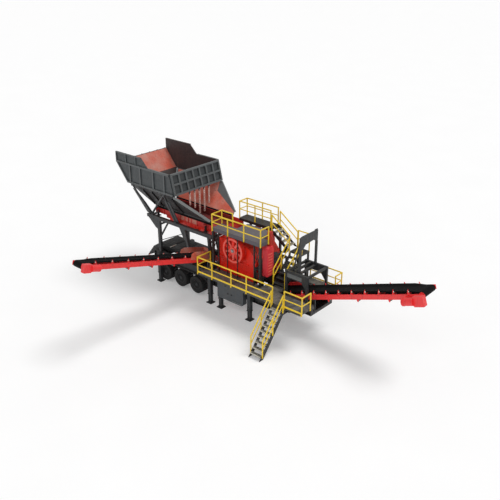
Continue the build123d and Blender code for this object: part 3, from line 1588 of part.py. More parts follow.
def idler_set(frame_width, belt_width):
    """Carrying idler: a roll that touches the belt, its feet and the raised edge brackets."""
    half = frame_width / 2 - 4
    base = CHANNEL_DEPTH + SEAT
    axis_z = CHANNEL_DEPTH + IDLER_HEIGHT - ROLL_RADIUS
    edge = belt_width / 2
    roll = belt_width * 0.46
    octagon = []
    for i in range(8):
        angle = math.radians(22.5 + 45 * i)
        octagon.append((ROLL_RADIUS * math.cos(angle), axis_z + ROLL_RADIUS * 0.92 * math.sin(angle)))
    parts = [along_y(octagon, -roll, roll)]
    tip = CHANNEL_DEPTH + IDLER_HEIGHT + BELT_THICK + trough_rise(belt_width) + 60
    for side in (-1, 1):
        parts.append(block(-35, 35, side * (roll - 10), side * half, base, base + 30))
        bracket = [
            (side * (edge + 12), base),
            (side * half, base),
            (side * half, base + 60),
            (side * (edge + 40), tip),
            (side * (edge + 12), tip),
        ]
        parts.append(along_x(bracket, -8, 8))
    return joined(parts)


def drum(s, frame_width, belt_width):
    """Drum with its shaft running out to the bearing plates."""
    half = frame_width / 2 - CHANNEL_WEB
    centre = drum_height()
    shell = rod_y(s, centre, drum_radius(), -belt_width / 2 - 20, belt_width / 2 + 20)
    return shell + rod_y(s, centre, DRUM_SHAFT, -half + SEAT, half - SEAT)


def conveyor_rollers(length, frame_width, belt_width, idler_count):
    """Both drums and the carrying idlers."""
    pieces = [drum(tail_drum_s(), frame_width, belt_width), drum(length, frame_width, belt_width)]
    first = tail_drum_s() + 550
    last = length - 650
    for i in range(idler_count):
        s = first + i * (last - first) / (idler_count - 1)
        pieces.append(Pos(s, 0, 0) * idler_set(frame_width, belt_width))
    return loose(pieces)


def conveyor_drive(length, frame_width, size, lift):
    """Gearbox and motor on the outside of the head bearing plate."""
    face = -frame_width / 2 - SEAT
    gearbox = block(length - 260 * size, length + 250 * size, face - 290 * size, face,
                    lift - 245 * size, lift + 245 * size)
    place = Pos(0, face - 240 * size, lift) * Rot(0, 90, 0)
    body = Pos(length - 500 * size, 0, 0) * place * Cylinder(195 * size, 500 * size)
    fan = Pos(length - 770 * size, 0, 0) * place * Cylinder(210 * size, 90 * size)
    return joined([gearbox, body, fan])


def place_main(shape):
    """From the conveyor's own frame to the main conveyor's place."""
    return Pos(MAIN_TAIL_X, 0, MAIN_TAIL_Z) * Rot(0, -MAIN_ANGLE, 0) * shape


def place_side(shape):
    """From the conveyor's own frame to the side conveyor's place."""
    return Pos(SIDE_X, SIDE_TAIL_Y, SIDE_TAIL_Z) * Rot(0, 0, -90) * Rot(0, -SIDE_ANGLE, 0) * shape


def side_skirt():
    """Loading skirt round the tail of the side conveyor's belt."""
    inner = SIDE_FRAME / 2 + SEAT
    outer = inner + 20
    low = CHANNEL_DEPTH - 80
    high = CHANNEL_DEPTH + IDLER_HEIGHT + SKIRT_HEIGHT
    start, end = SKIRT_START, SKIRT_START + SKIRT_LENGTH
    outline = [(start, low), (end, low), (end, high - 120), (end - 250, high), (start, high)]
    skirt = [along_y(outline, inner, outer), along_y(outline, -outer, -inner)]
    tail_low = CHANNEL_DEPTH + IDLER_HEIGHT + trough_rise(SIDE_BELT) + 80
    tail = block(start, start + 20, -outer, outer, tail_low, high)
    return joined(skirt + [tail])


def side_stands():
    """Stands that seat the side conveyor on the chassis."""
    pieces = []
    slope = math.tan(math.radians(SIDE_ANGLE))
    half_x = SIDE_FRAME / 2 - CHANNEL_FLANGE / 2
    for side in (-1, 1):
        x = SIDE_X + side * half_x
        y0, y1 = -BEAM_SPREAD - 80, -BEAM_SPREAD + 80
        z0 = SIDE_TAIL_Z + (SIDE_TAIL_Y - y0) * slope - SEAT
        z1 = SIDE_TAIL_Z + (SIDE_TAIL_Y - y1) * slope - SEAT
        foot = MID_BEAM_TOP if x > MID_START - 45 else REAR_BEAM_TOP
        outline = [(y0, foot), (y1, foot), (y1, z1), (y0, z0)]
        pieces.append(along_x(outline, x - CHANNEL_FLANGE / 2, x + CHANNEL_FLANGE / 2))
    return loose(pieces)


def conveyor_hangers():
    """Brackets from the main beams to the middle of the main conveyor."""
    x = 7450
    low = MID_BEAM_BOTTOM
    inner = MAIN_FRAME / 2 + SEAT
    outer = BEAM_SPREAD - BEAM_WIDTH / 2
    piece = block(x - 60, x + 60, -outer, -inner, low + 60, low + 260)
    piece += block(x - 60, x + 60, -outer, -outer + 60, low, low + 260)
    return loose([piece, across(piece)])


def portal():
    """Frame over the main conveyor: side beams, front and rear posts, cross bars."""
    y = NECK_SPREAD
    depth = PORTAL_DEPTH
    haunch = 420
    near = []
    outline = [
        (PORTAL_REAR, PORTAL_TOP),
        (PORTAL_FRONT, PORTAL_TOP),
        (PORTAL_FRONT, PORTAL_TOP - depth - haunch),
        (PORTAL_FRONT - 110, PORTAL_TOP - depth - haunch),
        (PORTAL_FRONT - haunch, PORTAL_TOP - depth),
        (PORTAL_REAR, PORTAL_TOP - depth),
    ]
    near.append(along_y(outline, -y - 30, -y + 30))
    foot = MID_BEAM_TOP
    for x in (PORTAL_REAR + 60, PORTAL_FRONT - 60):
        near.append(block(x - 60, x + 60, -y - 70, -y + 50, foot, PORTAL_TOP - 40))
    near.append(block(PORTAL_REAR, PORTAL_FRONT, -y - 60, -y + 60, PORTAL_TOP - 40, PORTAL_TOP))
    side = joined(near)
    inner = y + 10
    bars = []
    for x in (PORTAL_REAR + 80, (PORTAL_REAR + GANTRY_X) / 2, GANTRY_X, PORTAL_FRONT - 80):
        bars.append(block(x - 60, x + 60, -inner, inner, PORTAL_TOP - 130, gantry_foot()))
    return joined([side, across(side)] + bars)


def gantry_foot():
    """Top of the portal's cross bars, on which the gantry stands."""
    return PORTAL_TOP - 20


def gantry():
    """Haunched lifting gantry on the portal's cross bar, with its rear stay."""
    half = GANTRY_LEG / 2
    y = GANTRY_HALF
    low = gantry_foot() + SEAT
    top = PORTAL_TOP + GANTRY_RISE
    outline = [
        (-y - half, top - 50), (-y + 160, top), (y + half, top), (y + half, top - 620),
        (y - half, top - 620), (y - 280, top - 460), (-y + 400, top - 520),
        (-y + 200, top - 710), (-y + half, top - 750), (-y - half, top - 750),
    ]
    parts = [along_x(outline, GANTRY_X - 40, GANTRY_X + 40)]
    for side in (-1, 1):
        leg_y = side * y
        parts.append(block(GANTRY_X - half, GANTRY_X + half, leg_y - half, leg_y + half, low, top - 600))
    for shift in (0, 140):
        lug_y = y - shift
        parts.append(block(GANTRY_X - 15, GANTRY_X + 15, lug_y - 45, lug_y + 45, top - 140, top + 70))
    stay_x = (PORTAL_REAR + GANTRY_X) / 2
    parts.append(bar((GANTRY_X, -y, top - 120), (stay_x, -y, low + 60), 60))
    parts.append(block(stay_x - 55, stay_x + 55, -y - 40, -y + 40, low, low + 90))
    return joined(parts)


def power_pack():
    """Flat power pack over the rear axles, its tail down behind the chassis under a visor."""
    low = REAR_BEAM_TOP
    top = low + PACK_HEIGHT
    wall = CHASSIS_REAR - 10
    tail = CHASSIS_REAR - PACK_TAIL
    tip = CHASSIS_REAR - VISOR_REACH
    outline = [
        (PACK_FRONT, low),
        (PACK_FRONT, top),
        (CHASSIS_REAR - 50, top),
        ((CHASSIS_REAR + tip) / 2 + 50, top - 330),
        (tip, MID_BEAM_BOTTOM - 120),
        (tail, REAR_BEAM_BOTTOM + 80),
        (tail, MID_BEAM_BOTTOM),
        (wall, MID_BEAM_BOTTOM),
        (wall, low),
    ]
    return along_y(outline, -PACK_HALF, PACK_HALF)


def side_tank():
    """Grey tank under the near beam, its front panel run on past the jack leg."""
    beam = -BEAM_SPREAD - BEAM_WIDTH / 2 - SEAT
    front = TANK_REAR + TANK_LENGTH
    outer = beam - TANK_REACH
    behind = JACK_XS[2] + JACK_TUBE * 0.7 + 20
    panel = block(TANK_REAR, front, outer, outer + TANK_PANEL, TANK_BOTTOM, TANK_TOP)
    tank = panel + block(behind, front, outer + TANK_PANEL, beam, TANK_BOTTOM, TANK_TOP)
    corner = tank.edges().filter_by(Axis.Y).sort_by(lambda edge: edge.center().X - edge.center().Z)
    low_front = [e for e in corner if e.center().Z < TANK_BOTTOM + 1 and e.center().X > front - 1]
    return fillet(low_front, TANK_CORNER)


def drive_belt():
    """Belt loop from the motor pulley up to the far flywheel, with the pulley inside it."""
    y0 = CRUSHER_HALF + 100 + FLYWHEEL_GAP + 30
    y1 = y0 + FLYWHEEL_WIDTH - 60
    big = FLYWHEEL_RADIUS + 6
    small = PULLEY_RADIUS
    thick = 14
    dx = motor_x() - SHAFT_X
    dz = MOTOR_Z - SHAFT_Z
    reach = math.hypot(dx, dz)
    turn = math.atan2(dz, dx)
    spread = math.acos((big - small) / reach)

    def loop(extra):
        points = []
        for centre_x, centre_z, radius, first, last in (
            (SHAFT_X, SHAFT_Z, big + extra, turn + spread, turn - spread + 2 * math.pi),
            (motor_x(), MOTOR_Z, small + extra, turn - spread, turn + spread),
        ):
            middle = (first + last) / 2
            points.append([
                (centre_x + radius * math.cos(a), y0, centre_z + radius * math.sin(a))
                for a in (first, middle, last)
            ])
        wheel_arc = ThreePointArc(*points[0])
        pulley_arc = ThreePointArc(*points[1])
        edges = [
            wheel_arc, Line(points[0][2], points[1][0]),
            pulley_arc, Line(points[1][2], points[0][0]),
        ]
        return extrude(make_face(edges), amount=y1 - y0, dir=(0, 1, 0))

    return loop(thick) - loop(0)


def motor_pulley():
    """Grooved pulley on the motor shaft inside the belt loop."""
    y0 = CRUSHER_HALF + 100 + FLYWHEEL_GAP + 20
    pulley = rod_y(motor_x(), MOTOR_Z, PULLEY_RADIUS - SEAT, y0, y0 + FLYWHEEL_WIDTH - 40)
    return pulley + rod_y(motor_x(), MOTOR_Z, 55, MOTOR_LENGTH * 0.4, y0 + 10)


def nodes():
    """Every named piece of the plant in the layout frame."""
    near_beam = chassis_beam()
    near_side = hopper_side()
    near_funnel = funnel_side()
    near_flywheel = flywheel()
    named = {
        "chassis_beam_near": near_beam,
        "chassis_beam_far": across(near_beam),
        "chassis_crossmembers": crossmembers(),
        "kingpin_plate": kingpin_plate(),
        "axle_beams": axles(),
        "mudguards": mudguards(),
        "jack_tubes": jack_tubes(),
        "jack_legs": jack_legs(),
        "side_tank": side_tank(),
        "power_pack": power_pack(),
        "hopper_side_near": near_side,
        "hopper_side_far": across(near_side),
        "hopper_front_wall": front_wall(),
        "hopper_rear_wall": rear_wall(),
        "hopper_funnel_sides": loose([near_funnel, across(near_funnel)]),
        "hopper_liners": liners(),
        "hopper_struts": hopper_struts(),
        "chain_curtain": chain_curtain(),
        "feeder_pan": feeder_pan(),
        "feeder_springs": feeder_springs(),
        "feeder_exciter": feeder_exciter(),
        "feeder_frame": feeder_frame(),
        "feeder_supports": feeder_supports(),
        "crusher_body": crusher_body(),
        "crusher_base": crusher_skid(),
        "crusher_stools": loose([motor_stool(), cover_frame()]),
        "crusher_jaw_dies": loose([jaw_die(False), jaw_die(True)]),
        "crusher_motor": motor(),
        "crusher_end_cover": end_cover(),
        "eccentric_shaft": eccentric_shaft(),
        "flywheel_near": near_flywheel,
        "flywheel_far": across(near_flywheel),
        "drive_belt": drive_belt(),
        "upper_platform": upper_platform(),
        "high_platform": high_platform(),
        "platform_columns": loose([upper_columns(), high_columns(), flywheel_guard()]),
        "platform_rails": loose([upper_rails(), high_rails()]),
        "inner_stairs": loose([upper_flight(), landing(), lower_flight()]),
        "ground_stair": ground_stair(),
        "stair_rails": loose([stair_rails(), ground_stair_rails()]),
        "walkway_near": loose([near_walkway(), inner_deck()] + inner_deck_carriers()),
        "walkway_far": far_walkway(),
        "walkway_rails": loose([near_rails(), far_rails()]),
        "side_conveyor_frame": place_side(conveyor_frame(SIDE_LENGTH, SIDE_FRAME, 7)),
        "side_conveyor_belt": place_side(conveyor_belt(SIDE_LENGTH, SIDE_BELT)),
        "side_conveyor_rollers": place_side(conveyor_rollers(SIDE_LENGTH, SIDE_FRAME, SIDE_BELT, 9)),
        "side_conveyor_skirt": place_side(side_skirt()),
        "main_conveyor_frame": place_main(conveyor_frame(MAIN_LENGTH, MAIN_FRAME, 9)),
        "main_conveyor_belt": place_main(conveyor_belt(MAIN_LENGTH, MAIN_BELT)),
        "main_conveyor_rollers": place_main(conveyor_rollers(MAIN_LENGTH, MAIN_FRAME, MAIN_BELT, 15)),
        "conveyor_drives": loose([
            place_main(conveyor_drive(MAIN_LENGTH, MAIN_FRAME, 1, 0)),
            place_side(across(conveyor_drive(SIDE_LENGTH, SIDE_FRAME, 0.85, 150))),
        ]),
        "conveyor_mounts": loose([side_stands(), conveyor_hangers()]),
        "portal": portal(),
        "gantry": gantry(),
    }
    for i in range(AXLE_COUNT):
        named[f"wheel_near_{i + 1}"] = wheel(i, -1)
        named[f"wheel_far_{i + 1}"] = wheel(i, 1)
    return named


def main():
    """Build every piece, move the plant to its origin and write one file a piece."""
    os.makedirs("parts", exist_ok=True)
    named = nodes()
    box = Compound(children=[Compound(children=list(s.solids())) for s in named.values()]).bounding_box()
    middle = box.center()
    shift = Pos(-middle.X, -middle.Y, -box.min.Z)
    print("origin in the layout frame", middle.X, middle.Y, box.min.Z)
    for name, shape in named.items():
        export_step(shift * shape, f"parts/{name}.step")


main()
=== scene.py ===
"""Looks of the trailer-mounted jaw crushing plant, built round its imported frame.

All places are in metres. `Trailer.at` takes a place in the trailer's own layout (X from the rearmost
axle towards the gooseneck, Y from the centre line, Z from the ground) and returns it in the frame.
"""
import logging
import math
from dataclasses import dataclass
from enum import Enum
from functools import cached_property
from typing import Callable, Iterable, Sequence

import bmesh
import bpy
from mathutils import Matrix, Vector


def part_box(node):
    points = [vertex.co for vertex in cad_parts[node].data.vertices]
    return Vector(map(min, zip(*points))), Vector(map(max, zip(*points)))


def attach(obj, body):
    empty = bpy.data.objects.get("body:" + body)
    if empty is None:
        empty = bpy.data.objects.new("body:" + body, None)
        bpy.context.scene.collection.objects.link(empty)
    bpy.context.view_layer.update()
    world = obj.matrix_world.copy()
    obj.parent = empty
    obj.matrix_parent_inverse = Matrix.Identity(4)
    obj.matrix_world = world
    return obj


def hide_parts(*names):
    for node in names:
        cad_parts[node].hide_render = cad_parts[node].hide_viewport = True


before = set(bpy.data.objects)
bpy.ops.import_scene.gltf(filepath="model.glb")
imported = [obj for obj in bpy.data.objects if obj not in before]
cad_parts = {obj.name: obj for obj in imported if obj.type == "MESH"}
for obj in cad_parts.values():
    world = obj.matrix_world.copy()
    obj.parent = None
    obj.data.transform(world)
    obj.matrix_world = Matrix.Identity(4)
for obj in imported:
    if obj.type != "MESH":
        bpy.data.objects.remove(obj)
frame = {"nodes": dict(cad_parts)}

logging.basicConfig(level=logging.INFO, format="%(name)s: %(message)s")
log = logging.getLogger("plant")

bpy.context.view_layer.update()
Point = tuple[float, float, float]
Thing = bpy.types.Object
Socket = bpy.types.NodeSocket
MM = 0.001
ROUND_EDGE = 40.0
PAINT_IOR = 1.52


class Side(Enum):
    """The two long sides of the trailer."""

    NEAR = -1
    FAR = 1


class Body(Enum):
    """Bodies of the frame that pieces ride on."""

    PLANT = "plant"
    FLYWHEELS = "flywheels"


def linear(hex_colour: str) -> tuple[float, float, float, float]:
    """Turn an sRGB hex colour into linear light.

    Args:
        hex_colour: Colour as "#rrggbb".

    Returns:
        Linear red, green and blue with an alpha of one.
    """
    values = [int(hex_colour[i:i + 2], 16) / 255 for i in (1, 3, 5)]
    parts = [v / 12.92 if v <= 0.04045 else ((v + 0.055) / 1.055) ** 2.4 for v in values]
    return (parts[0], parts[1], parts[2], 1.0)


class Palette:
    """The node tree of one material or sky, with patterns of a real size."""

    def __init__(self, owner: bpy.types.ID) -> None:
        owner.use_nodes = True
        self.tree = owner.node_tree
        self.shader = self.tree.nodes.get("Principled BSDF")

    @cached_property
    def place(self) -> Socket:
        """Coordinates in metres."""
        return self.add("TexCoord").outputs["Object"]

    def add(self, kind: str, settings: dict | None = None, **links: Socket) -> bpy.types.Node:
        """Add one node with its settings and links.

        Args:
            kind: The node's type without "ShaderNode".
            settings: Attributes of the node, or values of its sockets by name or number.
            **links: Output sockets by input name, or by number as "i0", "i1".

        Returns:
            The new node.
        """
        node = self.tree.nodes.new("ShaderNode" + kind)
        for key, value in (settings or {}).items():
            if isinstance(key, int) or key in node.inputs:
                node.inputs[key].default_value = value
            else:
                setattr(node, key, value)
        for key, source in links.items():
            self.tree.links.new(source, node.inputs[int(key[1:]) if key[1:].isdigit() else key])
        return node

    def wire(self, value: object, name: str) -> None:
        """Put a socket or a plain value on one of the shader's inputs."""
        if isinstance(value, Socket):
            self.tree.links.new(value, self.shader.inputs[name])
        else:
            self.shader.inputs[name].default_value = value

    def maths(self, operation: str, a: Socket, b: Socket | float = 0.0) -> Socket:
        """Result of one operation on two values."""
        linked = isinstance(b, Socket)
        settings = {"operation": operation} if linked else {"operation": operation, 1: b}
        node = self.add("Math", settings, i0=a, **({"i1": b} if linked else {}))
        return node.outputs["Value"]

    def times(self, a: Socket, b: Socket | float) -> Socket:
        """Product of two values."""
        return self.maths("MULTIPLY", a, b)

    def between(self, value: Socket, low: float, high: float, out_low: float = 0.0,
                out_high: float = 1.0) -> Socket:
        """Rescale a value from one range to another, held at its ends."""
        ends = {"From Min": low, "From Max": high, "To Min": out_low, "To Max": out_high}
        return self.add("MapRange", ends, Value=value).outputs["Result"]

    def speckle(self, size_mm: float, detail: float, stretch: Point = (1.0, 1.0, 1.0)) -> Socket:
        """Noise of a real size.

        Args:
            size_mm: Size of one patch in millimetres.
            detail: Octaves of finer noise.
            stretch: How often the pattern repeats along each axis, against the others.

        Returns:
            The noise's value.
        """
        mapped = self.add("Mapping", {"Scale": stretch}, Vector=self.place).outputs["Vector"]
        noise = {"Scale": 1000.0 / size_mm, "Detail": detail}
        return self.add("TexNoise", noise, Vector=mapped).outputs["Fac"]

    def patches(self, size_mm: float, detail: float, low: float, high: float, out_low: float = 0.0,
                out_high: float = 1.0, stretch: Point = (1.0, 1.0, 1.0)) -> Socket:
        """Speckle of a real size, rescaled from one range to another."""
        return self.between(self.speckle(size_mm, detail, stretch), low, high, out_low, out_high)

    def blend(self, part: Socket, a: object, b: object) -> Socket:
        """Mix two colours, each a socket or an sRGB hex, by how much of the second shows."""
        node = self.add("Mix", {"data_type": "RGBA"}, i0=part)
        for index, value in ((6, a), (7, b)):
            if isinstance(value, str):
                node.inputs[index].default_value = linear(value)
            else:
                self.tree.links.new(value, node.inputs[index])
        return node.outputs[2]

    def overlay(self, part: Socket, colour: str) -> None:
        """Lay one more colour over the base colour."""
        paint = self.shader.inputs["Base Color"].links[0].from_socket
        self.wire(self.blend(part, paint, colour), "Base Color")

    def along(self, axis: str, value: Socket | None = None) -> Socket:
        """One part of a vector, or of the place."""
        return self.add("SeparateXYZ", None, Vector=value or self.place).outputs[axis]

    def upward(self, low: float = 0.35, high: float = 0.95) -> Socket:
        """One where the surface faces up, nought where it is upright or faces down."""
        return self.between(self.along("Z", self.add("NewGeometry").outputs["Normal"]), low, high)

    def emboss(self, height: Socket, depth_mm: float, strength: float) -> None:
        """Bump the surface by a height pattern of a real depth."""
        bump = self.add("Bump", {"Strength": strength, "Distance": depth_mm * MM}, Height=height)
        self.wire(bump.outputs["Normal"], "Normal")


@dataclass(frozen=True)
class Finish:
    """A surface finish: what the material is and how its surface was made."""

    name: str
    colour: str

    def dress(self, p: Palette) -> None:
        """Wire the finish's own pattern into the shader."""

    def material(self) -> bpy.types.Material:
        """Return the material, made on first use."""
        made = bpy.data.materials.get(self.name)
        if not made:
            made = bpy.data.materials.new(self.name)
            palette = Palette(made)
            palette.wire(linear(self.colour), "Base Color")
            self.dress(palette)
        return made


@dataclass(frozen=True)
class SprayedEnamel(Finish):
    """Sprayed enamel on welded plate: slight orange peel, dust on top faces, rain streaks, chips."""

    dust: str = "#8d867b"
    dust_amount: float = 0.35
    roughness: float = 0.42
    fade: str = "#5a5c5d"
    chip: str = "#5b4a40"

    def dress(self, p: Palette) -> None:
        """Wire fading, streaks, dust and chips over the paint."""
        colour = p.blend(p.patches(900, 4, 0.35, 0.75, 0.0, 0.55), self.colour, self.fade)
        streaks = p.patches(70, 2, 0.52, 0.72, 0.0, 0.35, (1.0, 1.0, 0.06))
        colour = p.blend(streaks, colour, self.chip)
        lying = p.times(p.upward(), p.patches(260, 5, 0.3, 0.7, 0.4, 1.0))
        colour = p.blend(p.times(lying, self.dust_amount), colour, self.dust)
        p.wire(p.blend(p.patches(24, 6, 0.70, 0.72), colour, self.chip), "Base Color")
        p.wire(p.patches(140, 4, 0.3, 0.7, self.roughness - 0.08, self.roughness + 0.18), "Roughness")
        p.wire(PAINT_IOR, "IOR")
        # orange peel is 1 to 2 mm across on the real paint; drawn at 9 mm so that it shows
        p.emboss(p.speckle(9, 1), 0.4, 0.25)


@dataclass(frozen=True)
class ShadedUndersideEnamel(SprayedEnamel):
    """Enamel with painted shade: near black on faces that look down or sideways, a lighter lit grey on faces
    that lean upwards.
    """

    lit_topside: str = "#6c6e6e"

    def dress(self, p: Palette) -> None:
        """Wire the lighter lit grey on to faces that lean upwards; the near-black rest is painted shade."""
        super().dress(p)
        p.overlay(p.times(p.upward(0.05, 0.15), p.patches(500, 4, 0.3, 0.7, 0.75, 1.0)), self.lit_topside)


@dataclass(frozen=True)
class BandedEnamel(SprayedEnamel):
    """Enamel that is a deeper colour from some height up."""

    upper: str = "#b81d14"
    height: float = 4.515

    def dress(self, p: Palette) -> None:
        """Wire the deeper colour on to the upper part."""
        super().dress(p)
        p.overlay(p.between(p.along("Z"), self.height - 0.01, self.height + 0.01), self.upper)


@dataclass(frozen=True)
class PocketedEnamel(SprayedEnamel):
    """Enamel on ribbed plate, painted darker in the pockets between the flanges as painted shade."""

    pocket_shade: str = "#303436"
    across: Point = (0.0, 1.0, 0.0)
    flange_at: float = 0.0
    depth: float = 0.05

    def dress(self, p: Palette) -> None:
        """Wire the painted shade by how deep the surface lies under the flanges."""
        super().dress(p)
        along = p.add("VectorMath", {"operation": "DOT_PRODUCT", 1: self.across}, i0=p.place)
        height = along.outputs["Value"]
        deep = p.between(height, self.flange_at - self.depth * 0.2, self.flange_at - self.depth * 0.8)
        p.overlay(p.times(deep, p.patches(220, 4, 0.3, 0.7, 0.7, 1.0)), self.pocket_shade)


@dataclass(frozen=True)
class TroughEnamel(SprayedEnamel):
    """Enamel on the feeder: bright outside, scoured dark inside where rock slides."""

    inside: str = "#5a2c2a"
    middle: float = 0.0
    half: float = 0.79
    front: float = 0.0

    def dress(self, p: Palette) -> None:
        """Wire the scoured colour between the trough's walls."""
        super().dress(p)
        away = p.maths("ABSOLUTE", p.maths("SUBTRACT", p.along("Y"), self.middle))
        within = p.times(p.between(away, self.half + 0.002, self.half - 0.002),
                         p.between(p.along("X"), self.front + 0.1, self.front - 0.1))
        p.overlay(p.times(within, p.patches(300, 5, 0.3, 0.7, 0.7, 1.0, (0.3, 1.0, 1.0))), self.inside)


@dataclass(frozen=True)
class ChequerEnamel(SprayedEnamel):
    """Rolled tread plate under enamel: raised lozenges, worn pale where boots pass."""

    worn: str = "#9a948a"
    pitch_mm: float = 60.0

    def dress(self, p: Palette) -> None:
        """Wire the lozenges over the enamel."""
        super().dress(p)
        lozenge = {"Rotation": (0, 0, math.radians(45)), "Scale": (1.0, 2.2, 1.0)}
        mapped = p.add("Mapping", lozenge, Vector=p.place).outputs["Vector"]
        cells = p.add("TexVoronoi", {"Scale": 1000.0 / self.pitch_mm, "Randomness": 0.0}, Vector=mapped)
        raised = p.times(p.between(cells.outputs["Distance"], 0.42, 0.28), p.upward())
        p.overlay(p.times(raised, p.patches(420, 4, 0.4, 0.65)), self.worn)
        p.emboss(raised, 3.0, 0.7)


@dataclass(frozen=True)
class RolledSteel(Finish):
    """Bare rolled or forged steel: brushed by use, with darker scale in patches."""

    scale_colour: str = "#4a4541"
    roughness: float = 0.45
    metallic: float = 0.85

    def dress(self, p: Palette) -> None:
        """Wire scale patches and rubbing marks."""
        p.wire(p.blend(p.patches(90, 5, 0.45, 0.65), self.colour, self.scale_colour), "Base Color")
        low, high = self.roughness - 0.1, self.roughness + 0.15
        p.wire(p.patches(12, 3, 0.3, 0.7, low, high, (1.0, 1.0, 0.2)), "Roughness")
        p.wire(self.metallic, "Metallic")
        p.emboss(p.speckle(15, 2), 0.5, 0.3)


@dataclass(frozen=True)
class WornLiner(Finish):
    """Primed wear plate: red primer scoured pale by rock, with scratches down the slope."""

    scoured: str = "#b98277"
    scratch: str = "#8a5048"

    def dress(self, p: Palette) -> None:
        """Wire scouring and long scratches."""
        colour = p.blend(p.patches(700, 5, 0.35, 0.7), self.colour, self.scoured)
        scratches = p.patches(30, 3, 0.58, 0.66, 0.0, 0.5, (0.15, 1.0, 0.3))
        p.wire(p.blend(scratches, colour, self.scratch), "Base Color")
        p.wire(0.62, "Roughness")
        p.emboss(p.speckle(40, 3), 1.2, 0.4)


@dataclass(frozen=True)
class VulcanisedRubber(Finish):
    """Moulded rubber: matt black, greyed by stone dust in its hollows."""

    dust: str = "#5d5852"
    dust_amount: float = 0.4
    gloss: float = 0.5

    def dress(self, p: Palette) -> None:
        """Wire dust into the rubber."""
        lying = p.patches(180, 5, 0.45, 0.75, 0.0, self.dust_amount)
        p.wire(p.blend(lying, self.colour, self.dust), "Base Color")
        p.wire(0.72, "Roughness")
        p.wire(PAINT_IOR, "IOR")
        p.wire(self.gloss, "Specular IOR Level")
        p.emboss(p.speckle(14, 2), 0.6, 0.35)


@dataclass(frozen=True)
class SandCast(Finish):
    """Sand-cast iron or manganese steel: grainy skin, rubbed bright on the high spots."""

    bright: str = "#8c8680"
    metallic: float = 0.6

    def dress(self, p: Palette) -> None:
        """Wire the casting's grain and its rubbed patches."""
        p.wire(p.blend(p.patches(150, 5, 0.5, 0.7), self.colour, self.bright), "Base Color")
        p.wire(self.metallic, "Metallic")
        p.wire(0.55, "Roughness")
        p.emboss(p.speckle(10, 3), 0.8, 0.5)


GREY_ENAMEL = SprayedEnamel("dark_grey_sprayed_enamel", "#2a2d30", fade="#33373a", dust="#65615b",
                            dust_amount=0.25)
BLACK_ENAMEL = SprayedEnamel("chassis_black_enamel", "#17191b", fade="#1f2224", dust="#4f4c48",
                             dust_amount=0.22)
HOPPER_ENAMEL = SprayedEnamel("hopper_grey_sprayed_enamel", "#4f5456", fade="#5b5f60", dust="#7d7972",
                              dust_amount=0.4)
# the darker pocket colours of the hopper's ribbed side and front wall are painted shade between the flanges
SIDE_ENAMEL = PocketedEnamel("hopper_side_ribbed_enamel", "#53585a", fade="#5f6364", dust="#7d7972",
                             pocket_shade="#393e40", across=(0.0, -1.0, 0.0), flange_at=-1.784, depth=0.06)
WAFFLE_ENAMEL = PocketedEnamel("hopper_front_waffle_enamel", "#53585a", fade="#5f6364", dust="#7d7972",
                               pocket_shade="#2f3335", across=(0.969, 0.0, 0.246), flange_at=-3.289, depth=0.08)
FLANGE_ENAMEL = SprayedEnamel("hopper_flange_pale_enamel", "#63686a", fade="#6d7172", dust="#85817a",
                              dust_amount=0.3)
INNER_ENAMEL = SprayedEnamel("hopper_inside_scuffed_enamel", "#3b3334", fade="#453b3a", roughness=0.6)
# the funnel's near-black outside is painted shade on its down-facing plates; its upward faces are painted lit
# grey
FUNNEL_ENAMEL = ShadedUndersideEnamel("funnel_black_outside_grey_inside", "#1d1e20", fade="#25282a", dust="#4a4a48",
                              dust_amount=0.2, lit_topside="#66696a")
FEEDER_ENAMEL = TroughEnamel("feeder_red_enamel_scoured_inside", "#cf2a24", fade="#b8302a", dust="#b0625a",
                             dust_amount=0.2, chip="#7a1c18", middle=3.8337, front=-3.15)
# pale pink red: painted highlights on the flywheels' faces and on the end cover's louvre hoods
HIGHLIGHT_RED = SprayedEnamel("painted_highlight_red_enamel", "#f0685c", fade="#e8503f", dust="#f0a095",
                           dust_amount=0.1, roughness=0.35, chip="#c03a2c")
RIM_ENAMEL = SprayedEnamel("funnel_rim_pale_grey_enamel", "#6c7071", fade="#606465", dust="#7d7a74")
TANK_ENAMEL = SprayedEnamel("tank_blue_grey_enamel", "#474c50", fade="#50565a")
RED_ENAMEL = SprayedEnamel("signal_red_sprayed_enamel", "#f02a16", fade="#dc2a1a", dust="#c8604f",
                           dust_amount=0.2, roughness=0.32, chip="#8a1410")
# the end cover's pinkish red is the crusher's red lightened as a painted highlight where the cover faces the
# light
COVER_RED = BandedEnamel("cover_light_red_enamel", "#f4404c", fade="#e02f3a", dust="#d98a86",
                         dust_amount=0.2, roughness=0.34, chip="#a02026")
CONVEYOR_RED = SprayedEnamel("conveyor_red_sprayed_enamel", "#f4393a", fade="#e83234", dust="#cf7f7c",
                             dust_amount=0.15, roughness=0.34, chip="#a02024")
YELLOW_ENAMEL = SprayedEnamel("safety_yellow_enamel", "#fad62c", fade="#efc828", dust="#d8cb94",
                              dust_amount=0.2, roughness=0.38, chip="#8b7a30")
LINER = WornLiner("scoured_red_primer_plate", "#d4614a", scoured="#cf8f80")
DECK_PLATE = ChequerEnamel("grey_chequer_plate_enamel", "#55535a", fade="#5f5c62", dust="#7d787a",
                           dust_amount=0.4)
WALK_PLATE = ChequerEnamel("walkway_chequer_plate_enamel", "#3d3e3e", fade="#484947", dust="#6b6a64",
                           dust_amount=0.35)
BLACK_DECK = ChequerEnamel("black_chequer_plate_enamel", "#1b1c1e", fade="#232426", dust="#4c4a47",
                           dust_amount=0.3)
